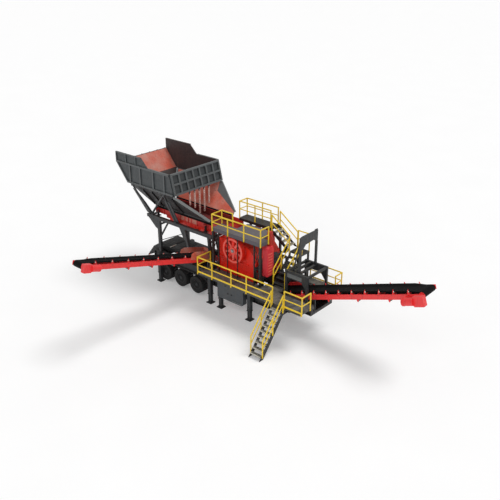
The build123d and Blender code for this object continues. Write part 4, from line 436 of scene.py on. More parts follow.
# the dull zinc skin scatters more light than bare metal does
PALE_STEEL = RolledSteel("galvanised_stair_steel", "#dcd9cd", scale_colour="#bcb8ab", roughness=0.5,
                         metallic=0.3)
# the chains' near-white pink is painted sheen and painted reflected red light on forged steel
CHAIN_STEEL = RolledSteel("forged_chain_steel", "#f0e0d8", scale_colour="#d6bfb5", roughness=0.4,
                          metallic=0.2)
ROLL_STEEL = RolledSteel("turned_roller_steel", "#8d8c89", scale_colour="#66635f")
SPRING_STEEL = RolledSteel("wound_spring_steel", "#4c4c4e", scale_colour="#38373a")
SHAFT_STEEL = RolledSteel("ground_shaft_steel", "#a5a5a6", scale_colour="#7d7b79", roughness=0.3)
BOLT_STEEL = RolledSteel("zinc_plated_bolt_steel", "#8f8e88", scale_colour="#6b6862", roughness=0.4)
JAW_CAST = SandCast("cast_manganese_jaw_steel", "#5c5752")
BELT_RUBBER = VulcanisedRubber("belt_cover_rubber", "#0b0b0c", dust="#1c1b1a", gloss=0.12)
TYRE_RUBBER = VulcanisedRubber("tyre_tread_rubber", "#111112", dust="#2b2926")

FINISH_NODES: dict[Finish, str] = {
    BLACK_ENAMEL: "chassis_ kingpin axle mudguards power_pack crusher_stools platform_columns "
                  "inner_stairs ground_stair conveyor_mounts",
    GREY_ENAMEL: "jack_ hopper_struts feeder_ crusher_motor portal gantry",
    TANK_ENAMEL: "side_tank",
    INNER_ENAMEL: "hopper_side_far hopper_rear_wall",
    SIDE_ENAMEL: "hopper_side_near",
    WAFFLE_ENAMEL: "hopper_front_wall",
    HOPPER_ENAMEL: "hopper_",
    FUNNEL_ENAMEL: "hopper_funnel_sides",
    LINER: "hopper_liners side_conveyor_skirt",
    CHAIN_STEEL: "chain_curtain",
    FEEDER_ENAMEL: "feeder_pan",
    SPRING_STEEL: "feeder_springs",
    RED_ENAMEL: "feeder_exciter crusher_ flywheel_",
    JAW_CAST: "crusher_jaw_dies",
    COVER_RED: "crusher_end_cover",
    SHAFT_STEEL: "eccentric_shaft",
    BELT_RUBBER: "drive_belt side_conveyor_belt main_conveyor_belt",
    DECK_PLATE: "upper_platform",
    BLACK_DECK: "high_platform",
    YELLOW_ENAMEL: "platform_rails stair_rails walkway_rails",
    WALK_PLATE: "walkway_",
    CONVEYOR_RED: "side_conveyor_ main_conveyor_ conveyor_drives",
    TYRE_RUBBER: "wheel_",
}


def finish_of(node: str) -> Finish:
    """Finish of a frame node: the one with the longest listed name that the node's name starts with."""
    matches = [(len(start), finish) for finish, starts in FINISH_NODES.items() for start in starts.split()
               if node.startswith(start)]
    return max(matches, key=lambda match: match[0])[1]


def paint_nodes() -> None:
    """Give every frame node its finish."""
    for name, obj in frame["nodes"].items():
        material = finish_of(name).material()
        if not obj.data.materials:
            obj.data.materials.append(material)
        for slot in obj.material_slots:
            slot.material = material
    log.info("painted %d frame nodes", len(frame["nodes"]))


@dataclass(frozen=True)
class Trailer:
    """The trailer's own layout: X from the rearmost axle, Y from the centre line, Z from the ground."""

    origin: Vector

    @classmethod
    def found(cls) -> "Trailer":
        """Read the layout's origin from the rearmost pair of wheels."""
        near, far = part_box("wheel_near_1"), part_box("wheel_far_1")
        return cls(Vector(((near[0][0] + near[1][0]) / 2, (near[0][1] + far[1][1]) / 2, 0.0)))

    def at(self, x: float, y: float, z: float) -> Vector:
        """Place in the frame of a point in the layout."""
        return self.origin + Vector((x, y, z))

    def fit(self, obj: Thing, finish: Finish, place: Matrix | None = None, body: Body = Body.PLANT) -> None:
        """Move a piece modelled in the layout, or in a place of the layout, into the frame and fit it."""
        obj.data.transform(Matrix.Translation(self.origin) @ (place or Matrix.Identity(4)))
        fitted(obj, finish, body)


def pick(*pieces: Thing) -> None:
    """Leave edit mode and select these pieces only, the first of them active."""
    active = bpy.context.view_layer.objects.active
    if active and active.mode != "OBJECT":
        bpy.ops.object.mode_set(mode="OBJECT")
    bpy.ops.object.select_all(action="DESELECT")
    for piece in pieces:
        piece.select_set(True)
    if pieces:
        bpy.context.view_layer.objects.active = pieces[0]


def settle(name: str) -> Thing:
    """Name the newest primitive and put its size and place into its mesh."""
    obj = bpy.context.object
    obj.name = obj.data.name = name
    bpy.ops.object.transform_apply(location=True, rotation=True, scale=True)
    return obj


def slab(name: str, low: Sequence[float], high: Sequence[float]) -> Thing:
    """Rectangular block between two corners, as a start for a piece."""
    pick()
    middle = [(a + b) / 2 for a, b in zip(low, high)]
    size = [abs(b - a) for a, b in zip(low, high)]
    bpy.ops.mesh.primitive_cube_add(size=1, location=middle, scale=size)
    return settle(name)


def turned(name: str, middle: Sequence[float], axis: Sequence[float], radius: float, length: float,
           sides: int = 24) -> Thing:
    """Round or many-sided bar about an axis, as a start for a piece.

    Args:
        name: Name of the piece.
        middle: Middle of its length.
        axis: Direction of its length.
        radius: Radius.
        length: Length.
        sides: Number of sides.

    Returns:
        The new object.
    """
    pick()
    lean = Vector((0, 0, 1)).rotation_difference(Vector(axis)).to_euler()
    bpy.ops.mesh.primitive_cylinder_add(vertices=sides, radius=radius, depth=length, location=middle,
                                        rotation=lean)
    return settle(name)


class Bench:
    """Edit mode on one piece, with faces or vertices picked in code."""

    def __init__(self, obj: Thing) -> None:
        self.obj = obj

    def __enter__(self) -> "Bench":
        """Open the piece in edit mode."""
        pick(self.obj)
        bpy.ops.object.mode_set(mode="EDIT")
        return self

    def __exit__(self, *_: object) -> None:
        """Close edit mode."""
        bpy.ops.object.mode_set(mode="OBJECT")

    def cleared(self, kind: str) -> bmesh.types.BMesh:
        """Select nothing, in the mode for faces or vertices, and return the mesh."""
        bpy.ops.mesh.select_mode(type=kind)
        bpy.ops.mesh.select_all(action="DESELECT")
        return bmesh.from_edit_mesh(self.obj.data)

    def faces(self, test: Callable[[Vector, Vector], bool]) -> None:
        """Select the faces whose middle and normal pass the test."""
        mesh = self.cleared("FACE")
        mesh.normal_update()
        for face in mesh.faces:
            face.select_set(test(face.calc_center_median(), face.normal))
        bmesh.update_edit_mesh(self.obj.data)

    def facing(self, way: str) -> None:
        """Select the faces that look one way, such as "-y" or "+z", or both ways, such as "y"."""
        axis, ways = way[-1], {"-": (-1,), "+": (1,)}.get(way[0], (-1, 1))
        self.faces(lambda middle, normal: any(sign * getattr(normal, axis) > 0.9 for sign in ways))

    def vertices(self, test: Callable[[Vector], bool]) -> None:
        """Select the vertices whose place passes the test."""
        mesh = self.cleared("VERT")
        for vertex in mesh.verts:
            vertex.select_set(test(vertex.co))
        mesh.select_flush_mode()
        bmesh.update_edit_mesh(self.obj.data)

    def inset(self, thickness: float, depth: float = 0.0, each: bool = False) -> None:
        """Inset the selected faces and push them in or out."""
        bpy.ops.mesh.inset(thickness=thickness, depth=depth, use_individual=each)

    def step(self, way: str, *steps: tuple[float, float]) -> None:
        """Inset the faces that look one way and move them along that axis, once for each pair."""
        self.facing(way)
        for thickness, offset in steps:
            self.inset(thickness)
            self.move([offset if axis == way[-1] else 0 for axis in "xyz"])

    def draw(self, offset: Sequence[float]) -> None:
        """Extrude the selected faces by an offset."""
        bpy.ops.mesh.extrude_region_move(TRANSFORM_OT_translate={"value": tuple(offset)})

    def move(self, offset: Sequence[float]) -> None:
        """Move what is selected."""
        bpy.ops.transform.translate(value=tuple(offset))

    def cut(self, point: Sequence[float], normal: Sequence[float]) -> None:
        """Bisect the whole piece by a plane."""
        bpy.ops.mesh.select_all(action="SELECT")
        bpy.ops.mesh.bisect(plane_co=tuple(point), plane_no=tuple(normal))

    def outwards(self) -> None:
        """Turn every face of the piece outwards."""
        bpy.ops.mesh.select_all(action="SELECT")
        bpy.ops.mesh.normals_make_consistent(inside=False)


def stepped(obj: Thing, way: str, *steps: tuple[float, float]) -> Thing:
    """Step the faces of a piece that look one way, and return the piece."""
    with Bench(obj) as bench:
        bench.step(way, *steps)
    return obj


def framed(obj: Thing, way: str, border: float, depth: float, each: bool = False) -> Thing:
    """Raise or sink the faces that look one way inside a border, and return the piece."""
    with Bench(obj) as bench:
        bench.facing(way)
        bench.inset(border, depth, each)
    return obj


def modified(obj: Thing, kind: str, **settings: object) -> Thing:
    """Add a modifier, set it and apply it."""
    pick(obj)
    modifier = obj.modifiers.new(kind.lower(), kind)
    for key, value in settings.items():
        setattr(modifier, key, value)
    bpy.ops.object.modifier_apply(modifier=modifier.name)
    return obj


def softened(obj: Thing, width: float = 0.003, segments: int = 1, angle: float = ROUND_EDGE) -> Thing:
    """Round the edges that are sharper than an angle in degrees and shade the rest smooth."""
    turn = math.radians(angle)
    modified(obj, "BEVEL", width=width, segments=segments, limit_method="ANGLE", angle_limit=turn)
    bpy.ops.object.shade_smooth_by_angle(angle=turn)
    return obj


def copied(obj: Thing, place: Matrix) -> Thing:
    """Copy a piece with a mesh of its own, moved or mirrored by a matrix."""
    copy = obj.copy()
    copy.data = obj.data.copy()
    copy.data.transform(place)
    bpy.context.collection.objects.link(copy)
    return copy


def repeated(obj: Thing, places: Iterable[Matrix], name: str) -> Thing:
    """Copy a piece to many places, remove the piece itself and join the copies under a name."""
    made = [copied(obj, place) for place in places]
    bpy.data.objects.remove(obj)
    return fused(made, name)


def fused(pieces: Sequence[Thing], name: str) -> Thing:
    """Join pieces into one object."""
    pick(*pieces)
    if len(pieces) > 1:
        bpy.ops.object.join()
    joined = bpy.context.view_layer.objects.active
    joined.name = joined.data.name = name
    return joined


def both_sides(obj: Thing) -> Thing:
    """Join a piece of the near side with its mirrored copy on the far side."""
    copy = copied(obj, Matrix.Scale(-1, 4, (0, 1, 0)))
    copy.data.flip_normals()
    return fused([obj, copy], obj.name)


def bored(obj: Thing, border: float, axis: str) -> Thing:
    """Open a hole through a plate along "y" or "z", leaving a border round it."""
    with Bench(obj) as bench:
        bench.facing(axis)
        bench.inset(border, each=True)
        bpy.ops.mesh.delete(type="FACE")
        bpy.ops.mesh.select_mode(type="EDGE")
        bpy.ops.mesh.select_all(action="DESELECT")
        bpy.ops.mesh.select_non_manifold()
        bpy.ops.mesh.bridge_edge_loops()
        bench.outwards()
    return obj


def ring(name: str, radius: float, width: float, depth: float, steps: int = 72) -> Thing:
    """Flat ring about the Y axis, spun from its rectangular section.

    Args:
        name: Name of the piece.
        radius: Middle radius.
        width: Width of the ring across its radius.
        depth: Thickness along Y.
        steps: Number of sides.

    Returns:
        The ring, its middle at the origin.
    """
    pick()
    bpy.ops.mesh.primitive_plane_add(size=1, location=(radius, 0, 0))
    section = settle(name)
    with Bench(section):
        bpy.ops.mesh.select_all(action="SELECT")
        bpy.ops.transform.resize(value=(width, depth, 1), center_override=(radius, 0, 0))
        bpy.ops.mesh.delete(type="ONLY_FACE")
    modified(section, "SCREW", axis="Y", angle=math.tau, steps=steps, render_steps=steps,
             use_merge_vertices=True)
    with Bench(section) as bench:
        bench.outwards()
    bpy.ops.object.shade_smooth_by_angle(angle=math.radians(ROUND_EDGE))
    return section


def fitted(obj: Thing, finish: Finish, body: Body | str = Body.PLANT,
           stands_for: Sequence[str] = ()) -> None:
    """Dress a piece and let it ride on its body.

    Args:
        obj: The finished piece.
        finish: Its finish.
        body: The body that carries it.
        stands_for: Frame nodes that it replaces.
    """
    if not obj.data.materials:
        obj.data.materials.append(finish.material())
    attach(obj, body.value if isinstance(body, Body) else body)
    if stands_for:
        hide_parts(*stands_for)
    log.info("%s: %d faces", obj.name, len(obj.data.polygons))


@dataclass
class BoltSet:
    """Hexagon heads with washers, modelled once and set out along lines."""

    across: float = 0.036
    height: float = 0.022

    def head(self) -> Thing:
        """One head on its washer, standing up from the origin."""
        head = turned("hex_head", (0, 0, self.height / 2), (0, 0, 1), self.across / 2, self.height, 6)
        with Bench(head) as bench:
            bench.step("+z", (self.across * 0.06, self.height * 0.12))
            bench.facing("-z")
            bench.inset(-self.across * 0.25)
            bench.draw((0, 0, -0.003))
        return head

    def set_out(self, name: str, spots: Iterable[tuple[Vector, Vector]], finish: Finish = BOLT_STEEL) -> None:
        """Fit heads at spots, each given by its place and its outward normal."""
        places = []
        for spot, normal in spots:
            lean = Vector((0, 0, 1)).rotation_difference(Vector(normal)).to_matrix().to_4x4()
            places.append(Matrix.Translation(spot) @ lean)
        fitted(repeated(self.head(), places, name), finish)


@dataclass
class RoadWheels:
    """Dual wheels: treaded tyres on dished rims, hubs with nuts, on three axles."""

    trailer: Trailer
    radius: float = 0.54
    rim_radius: float = 0.30
    tyre_width: float = 0.27
    gap: float = 0.05
    outer_face: float = 1.26
    hub_height: float = 0.66
    pitch: float = 1.35
    axles: int = 3
    sides: int = 56
    nut_circle: float = 0.155
    nut_count: int = 10

    def treads(self, middle: Vector, normal: Vector) -> bool:
        """Tell whether a face lies on the tyre's running surface."""
        return abs(normal.y) < 0.3 and math.hypot(middle.x, middle.z) > self.radius * 0.98

    def tyre(self) -> Thing:
        """One tyre with ribs, shoulder lugs and a bulged sidewall, its outer side towards minus Y."""
        width = self.tyre_width
        tyre = turned("tyre", (0, 0, 0), (0, 1, 0), self.radius, width, self.sides)
        with Bench(tyre) as bench:
            for share in (-0.36, -0.12, 0.12, 0.36):
                bench.cut((0, share * width, 0), (0, 1, 0))
            for way, side in (("-y", -1), ("+y", 1)):
                bench.step(way, (0.035, side * 0.012), (0.07, side * 0.010), (0.09, -side * 0.012),
                           (0.045, 0.0))
                bench.draw((0, -side * width * 0.3, 0))
            bench.faces(lambda middle, normal: self.treads(middle, normal)
                        and 0.12 * width < abs(middle.y) < 0.36 * width)
            bench.inset(0.006, -0.012)
            sector = math.tau / self.sides
            bench.faces(lambda middle, normal: self.treads(middle, normal) and abs(middle.y) > 0.37 * width
                        and int((math.atan2(middle.z, middle.x) + math.pi) / sector) % 2 == 0)
            bench.inset(0.004, -0.014, each=True)
        return softened(tyre, 0.004, 1, 50)

    def rim(self) -> Thing:
        """Deep-dished rim with a hub, its open side towards minus Y."""
        width = 2 * self.tyre_width + self.gap
        rim = turned("rim", (0, 0, 0), (0, 1, 0), self.rim_radius + 0.004, width - 0.02, 40)
        with Bench(rim) as bench:
            bench.step("-y", (0.022, 0.0), (0.012, 0.20), (0.05, 0.03), (0.085, -0.02), (0.012, -0.03),
                       (0.018, -0.10), (0.008, -0.06), (0.05, -0.01))
            bench.facing("+y")
            bench.inset(0.02)
            bench.draw((0, -0.06, 0))
        return softened(rim, 0.003, 1, 50)

    def nuts(self) -> Thing:
        """Ring of wheel nuts round the hub."""
        nut = turned("wheel_nut", (self.nut_circle, -0.075, 0), (0, 1, 0), 0.019, 0.035, 6)
        places = [Matrix.Rotation(math.tau * i / self.nut_count, 4, "Y") for i in range(self.nut_count)]
        return repeated(framed(nut, "-y", 0.006, 0.004), places, "wheel_nuts")

    def one(self) -> Thing:
        """A dual wheel at the origin, its outer side towards minus Y."""
        half = (self.tyre_width + self.gap) / 2
        tyres = repeated(self.tyre(), [Matrix.Translation((0, y, 0)) for y in (-half, half)], "tyres")
        pieces = [tyres, self.rim(), self.nuts()]
        for piece, finish in zip(pieces, (TYRE_RUBBER, GREY_ENAMEL, BOLT_STEEL)):
            piece.data.materials.append(finish.material())
        return fused(pieces, "dual_wheel")

    def build(self) -> None:
        """Set a dual wheel on every spindle."""
        model = self.one()
        middle = self.outer_face - (2 * self.tyre_width + self.gap) / 2
        for side in Side:
            turn = Matrix.Identity(4) if side is Side.NEAR else Matrix.Rotation(math.pi, 4, "Z")
            for i in range(self.axles):
                node = f"wheel_{side.name.lower()}_{i + 1}"
                place = self.trailer.at(i * self.pitch, side.value * middle, self.hub_height)
                wheel = copied(model, Matrix.Translation(place) @ turn)
                wheel.name = f"dual_wheel_{side.name.lower()}_{i + 1}"
                fitted(wheel, TYRE_RUBBER, node, [node])
        bpy.data.objects.remove(model)


@dataclass
class ChainCurtain:
    """Round-wire chains that hang from the front wall's pins."""

    trailer: Trailer
    head: Point = (1.936, 0.0, 6.11)
    spacing: float = 0.39
    drops: tuple[float, ...] = (0.76, 1.01, 1.38, 1.38, 1.01)
    inside: float = 0.14
    pitch: float = 0.1397
    width: float = 0.12
    wire: float = 0.036

    def link(self) -> Thing:
        """One oval link in the XZ plane, its middle at the origin."""
        pick()
        ring = (self.width - self.wire) / 2
        bpy.ops.mesh.primitive_torus_add(major_radius=ring, minor_radius=self.wire / 2 - 0.0005,
                                         major_segments=24, minor_segments=10, rotation=(math.pi / 2, 0, 0))
        link = settle("chain_link")
        reach = self.inside / 2 - (ring - self.wire / 2)
        with Bench(link) as bench:
            for side in (-1, 1):
                bench.vertices(lambda place: place.z * side > 0.0005)
                bench.move((0, 0, side * reach))
        bpy.ops.object.shade_smooth()
        return link

    def build(self) -> None:
        """Hang every chain, each link turned across the one above."""
        places = []
        count = len(self.drops)
        for i, drop in enumerate(self.drops):
            top = self.trailer.at(self.head[0], (i - (count - 1) / 2) * self.spacing, self.head[2])
            for k in range(round(drop / self.pitch)):
                lower = Matrix.Translation(top - Vector((0, 0, (k + 0.5) * self.pitch)))
                places.append(lower @ Matrix.Rotation(math.pi / 2 * (k % 2), 4, "Z"))
        chains = repeated(self.link(), places, "hanging_chains")
        fitted(chains, CHAIN_STEEL, stands_for=["chain_curtain"])


@dataclass
class FeederSprings:
    """Wound coil springs between caps, under the feeder's brackets."""

    trailer: Trailer
    xs: tuple[float, ...] = (-0.70, 3.30)
    spread: float = 0.955
    low: float = 4.17
    high: float = 4.58
    radius: float = 0.075
    wire: float = 0.012
    turns: int = 5

    def spring(self) -> Thing:
        """One spring with its caps, standing up from the origin."""
        height = self.high - self.low
        cap = 0.018
        pick()
        bpy.ops.mesh.primitive_circle_add(vertices=10, radius=self.wire, rotation=(math.pi / 2, 0, 0),
                                          location=(self.radius - self.wire, 0, cap + self.wire))
        coil = settle("coil")
        rise = height - 2 * cap - 2 * self.wire
        modified(coil, "SCREW", angle=math.tau * self.turns, screw_offset=rise, iterations=1,
                 steps=20 * self.turns, render_steps=20 * self.turns, use_normal_calculate=True)
        bpy.ops.object.shade_smooth()
        pieces = [coil]
        for z in (cap / 2, height - cap / 2):
            plate = turned("spring_cap", (0, 0, z), (0, 0, 1), self.radius, cap, 28)
            pieces.append(softened(plate, 0.004, 2))
        seat = turned("spring_guide", (0, 0, height / 2), (0, 0, 1), self.radius * 0.42, height - 2 * cap, 16)
        pieces.append(softened(seat, 0.006))
        return fused(pieces, "spring")

    def build(self) -> None:
        """Stand a spring at each bracket."""
        places = [Matrix.Translation(self.trailer.at(x, side.value * self.spread, self.low))
                  for x in self.xs for side in Side]
        springs = repeated(self.spring(), places, "wound_springs")
        fitted(springs, SPRING_STEEL, stands_for=["feeder_springs"])


@dataclass
class Funnel:
    """Pale angle rims along the funnel's sloping edges and sealing strips over the feeder."""

    trailer: Trailer
    foot_half: float = 0.86
    foot_z: float = 4.76
    run_out: float = 1.09
    rise: float = 1.44
    edge_start: tuple[float, float] = (1.87, 1.746)
    edge_end: tuple[float, float] = (3.76, 0.2285)
    rim: float = 0.15
    strip_x: tuple[float, float] = (-1.0, 3.7)

    def plane(self) -> Matrix:
        """Place of the near side's outer face: along X, up its slope, then outwards."""
        length = math.hypot(self.run_out, self.rise)
        up = Vector((0, -self.run_out / length, self.rise / length))
        out = Vector((0, -up.z, up.y))
        turn = Matrix((Vector((1, 0, 0)), up, out)).transposed().to_4x4()
        return Matrix.Translation((0, -self.foot_half, self.foot_z)) @ turn

    def edge(self) -> Thing:
        """Angle iron along the near side's sloping edge, with its stiffening lip."""
        (x0, y0), (x1, y1) = self.edge_start, self.edge_end
        length = math.hypot(x1 - x0, y1 - y0)
        flange = slab("funnel_rim", (-0.032, 0.0405, -0.03), (length, 0.0505, self.rim - 0.03))
        with Bench(flange) as bench:
            bench.facing("+z")
            bench.draw((0, 0, 0.008))
            bench.faces(lambda middle, normal: normal.y < -0.9 and middle.z > self.rim - 0.03)
            bench.draw((0, -0.03, 0))
        softened(flange)
        lean = Matrix.Rotation(math.atan2(y1 - y0, x1 - x0), 4, "Z")
        flange.data.transform(self.plane() @ Matrix.Translation((x0, y0, 0)) @ lean)
        return flange

    def gusset(self) -> Thing:
        """Gusset plate on the rear strut of the near side, tapering up towards the knee."""
        plate = slab("rear_gusset", (-1.42, -1.215, 4.25), (-0.80, -1.203, 5.90))
        with Bench(plate) as bench:
            bench.cut((0, 0, 5.0), (0, 0, 1))
            for z, lean, front, taper in ((5.9, (-0.33, -0.723, 0), -1.6, -0.33),
                                          (5.0, (-0.15, -0.328, 0), -1.2, -0.10)):
                bench.vertices(lambda place: abs(place.z - z) < 0.1)
                bench.move(lean)
                bench.vertices(lambda place: abs(place.z - z) < 0.1 and place.x > front)
                bench.move((taper, 0, 0))
        return softened(plate, 0.003, 1, 60)

    def strip(self) -> Thing:
        """Rubber sealing strip that hangs from the funnel's foot over the trough's near side."""
        x0, x1 = self.strip_x
        y = -self.foot_half + 0.002
        strip = slab("sealing_strip", (x0, y, self.foot_z - 0.14), (x1, y + 0.010, self.foot_z + 0.05))
        with Bench(strip) as bench:
            for i in range(1, 10):
                bench.cut((x0 + (x1 - x0) * i / 10, 0, 0), (1, 0, 0))
            bench.facing("-z")
            bench.draw((0, 0.003, -0.02))
        return softened(strip, 0.002)

    def build(self) -> None:
        """Fit both sides."""
        self.trailer.fit(both_sides(self.edge()), RIM_ENAMEL)
        self.trailer.fit(both_sides(self.gusset()), BLACK_ENAMEL)
        self.trailer.fit(both_sides(self.strip()), BELT_RUBBER)


@dataclass
class HopperTrim:
    """Cap strips on the hopper's rims and flange bolts along its knee and corners."""

    trailer: Trailer
    half: float = 1.99
    rib: float = 0.06
    rim_z: float = 7.42
    knee_z: float = 6.20
    front_x: float = 1.56
    foot_x: float = 1.87
    wall: float = 0.11
    cap_start: float = -0.18
    # first bolt, pitch and count along the knee, and down each corner of the front wall
    knee_bolts: tuple[float, float, int] = (-1.95, 0.215, 18)
    corner_bolts: tuple[float, float, int] = (-0.12, -0.2, 6)

    def side_cap(self) -> Thing:
        """Cap strip on the near side's rim, with a low stiffening bead along its outer edge."""
        y = -self.half - self.rib + 0.0005
        z = self.rim_z
        cap = slab("rim_cap", (self.cap_start, y, z), (self.front_x, -self.half + 0.05, z + 0.01))
        with Bench(cap) as bench:
            bench.cut((0, y + 0.02, 0), (0, 1, 0))
            bench.faces(lambda middle, normal: normal.z > 0.9 and middle.y < y + 0.02)
            bench.draw((0, 0, 0.008))
        return softened(cap)

    def lean(self) -> Matrix:
        """Place of the front wall: its own X outwards, its Z up the wall, from the rim's inner edge."""
        angle = math.atan2(self.foot_x - self.front_x, self.rim_z - self.knee_z)
        return Matrix.Translation((self.front_x, 0, self.rim_z)) @ Matrix.Rotation(-angle, 4, "Y")

    def front_cap(self) -> Thing:
        """Cap strip on the front wall's top edge."""
        y = self.half - 0.045
        cap = slab("front_rim_cap", (0, -y, 0.0005), (self.wall + 0.004, y, 0.0105))
        with Bench(cap) as bench:
            bench.cut((self.wall, 0, 0), (1, 0, 0))
            bench.faces(lambda middle, normal: normal.z < -0.9 and middle.x > self.wall)
            bench.draw((0, 0, -0.05))
        softened(cap)
        cap.data.transform(self.lean())
        return cap

    def bolts(self) -> list[tuple[Vector, Vector]]:
        """Flange bolts along the near side's knee and down the front wall's corners."""
        spots = []
        y = -self.half - self.rib
        out = Vector((0, -1, 0))
        first, pitch, count = self.knee_bolts
        for i in range(count):
            spots.append((self.trailer.at(first + i * pitch, y, self.knee_z + 0.055), out))
        place = self.lean()
        out = place.to_3x3() @ Vector((1, 0, 0))
        first, pitch, count = self.corner_bolts
        for side in Side:
            for k in range(count):
                spot = place @ Vector((self.wall, side.value * (self.half - 0.10), first + pitch * k))
                spots.append((self.trailer.at(*spot), out))
        return spots

    def build(self) -> None:
        """Fit the trim."""
        trim = fused([both_sides(self.side_cap()), self.front_cap()], "hopper_rim_caps")
        self.trailer.fit(trim, FLANGE_ENAMEL)
        BoltSet().set_out("hopper_flange_bolts", self.bolts())


@dataclass
class FeederPlates:
    """Bolt-on wear plates and hanging skirts along the trough's near and far sides."""

    trailer: Trailer
    half: float = 0.80
    spans: tuple[tuple[float, float], ...] = ((0.98, 1.44), (1.52, 1.98), (2.06, 2.52))
    low: float = 4.30
    high: float = 4.62
    hung: tuple[tuple[float, float, float], ...] = (
        (0.15, 0.81, 3.975), (0.81, 0.99, 4.055), (0.99, 2.41, 3.975), (2.41, 2.59, 4.055),
        (2.59, 3.88, 3.975))
    keel: float = 4.2495

    def plate(self, span: tuple[float, float]) -> Thing:
        """One plate with a raised border on the near side."""
        y = -self.half
        plate = slab("side_plate", (span[0], y - 0.008, self.low), (span[1], y, self.high))
        return softened(stepped(plate, "-y", (0.03, 0.004)))

    def skirts(self) -> Thing:
        """Sheets that hang from the trough's near edge, shorter over the frame's cross beams."""
        sheets = []
        for x0, x1, foot in self.hung:
            sheet = slab("trough_skirt", (x0, -self.half, foot), (x1, 0.014 - self.half, self.keel))
            sheets.append(softened(stepped(sheet, "-y", (0.02, 0.003)), 0.002))
        return fused(sheets, "feeder_skirts")

    def build(self) -> None:
        """Fit the plates, their bolts and the skirts."""
        self.trailer.fit(both_sides(self.skirts()), RED_ENAMEL)
        plates = fused([self.plate(span) for span in self.spans], "feeder_side_plates")
        self.trailer.fit(both_sides(plates), LINER)
        spots = []
        for side in Side:
            for x0, x1 in self.spans:
                for x in (x0 + 0.015, x1 - 0.015):
                    for z in (self.low + 0.04, self.high - 0.04):
                        spots.append((self.trailer.at(x, side.value * (self.half + 0.008), z),
                                      Vector((0, side.value, 0))))
        BoltSet(0.026, 0.016).set_out("feeder_plate_bolts", spots, finish=RED_ENAMEL)


@dataclass
class FlywheelFaces:
    """Pale pink rim faces and hub rings, painted highlights, and shaft caps that turn with both flywheels."""

    trailer: Trailer
    shaft: tuple[float, float] = (5.78, 3.84)
    outer_face: float = 1.39
    shaft_end: float = 1.405
    radius: float = 0.735
    rim: float = 0.15

    def faces(self) -> Thing:
        """Rim and hub rings on the near wheel, about the Y axis."""
        rim = ring("rim_face", self.radius - self.rim / 2 - 0.006, self.rim * 0.62, 0.007)
        hub = ring("hub_face", 0.175, 0.06, 0.007, 40)
        return fused([rim, hub, self.spokes()], "flywheel_faces")

    def spokes(self) -> Thing:
        """Painted highlights on the faces of the five tapered spokes, set back behind the rim."""
        low, high, back = 0.215, self.radius - self.rim - 0.01, 0.0425
        face = slab("spoke_face", (low, back, -0.075), (high, back + 0.006, 0.075))
        with Bench(face) as bench:
            bench.vertices(lambda place: place.x > high - 0.01)
            bpy.ops.transform.resize(value=(1, 1, 0.66), center_override=(high, back, 0))
            bench.step("-y", (0.012, -0.003))
        places = [Matrix.Rotation(math.radians(90 + 72 * i), 4, "Y") for i in range(5)]
        return repeated(face, places, "spoke_faces")

    def cap(self) -> Thing:
        """Domed cap on the shaft's near end with a locking plate."""
        cap = turned("shaft_cap", (0, -0.009, 0), (0, 1, 0), 0.085, 0.018, 28)
        return softened(stepped(cap, "-y", (0.02, -0.006), (0.03, 0.008)), 0.002)

    def build(self) -> None:
        """Fit both wheels."""
        x, z = self.shaft
        faces = self.faces()
        faces.data.transform(Matrix.Translation((x, -self.outer_face - 0.0035, z)))
        # the pale pink rings and spoke faces are painted highlights
        self.trailer.fit(both_sides(faces), HIGHLIGHT_RED, body=Body.FLYWHEELS)
        cap = self.cap()
        cap.data.transform(Matrix.Translation((x, -self.shaft_end, z)))
        self.trailer.fit(both_sides(cap), SHAFT_STEEL, body=Body.FLYWHEELS)


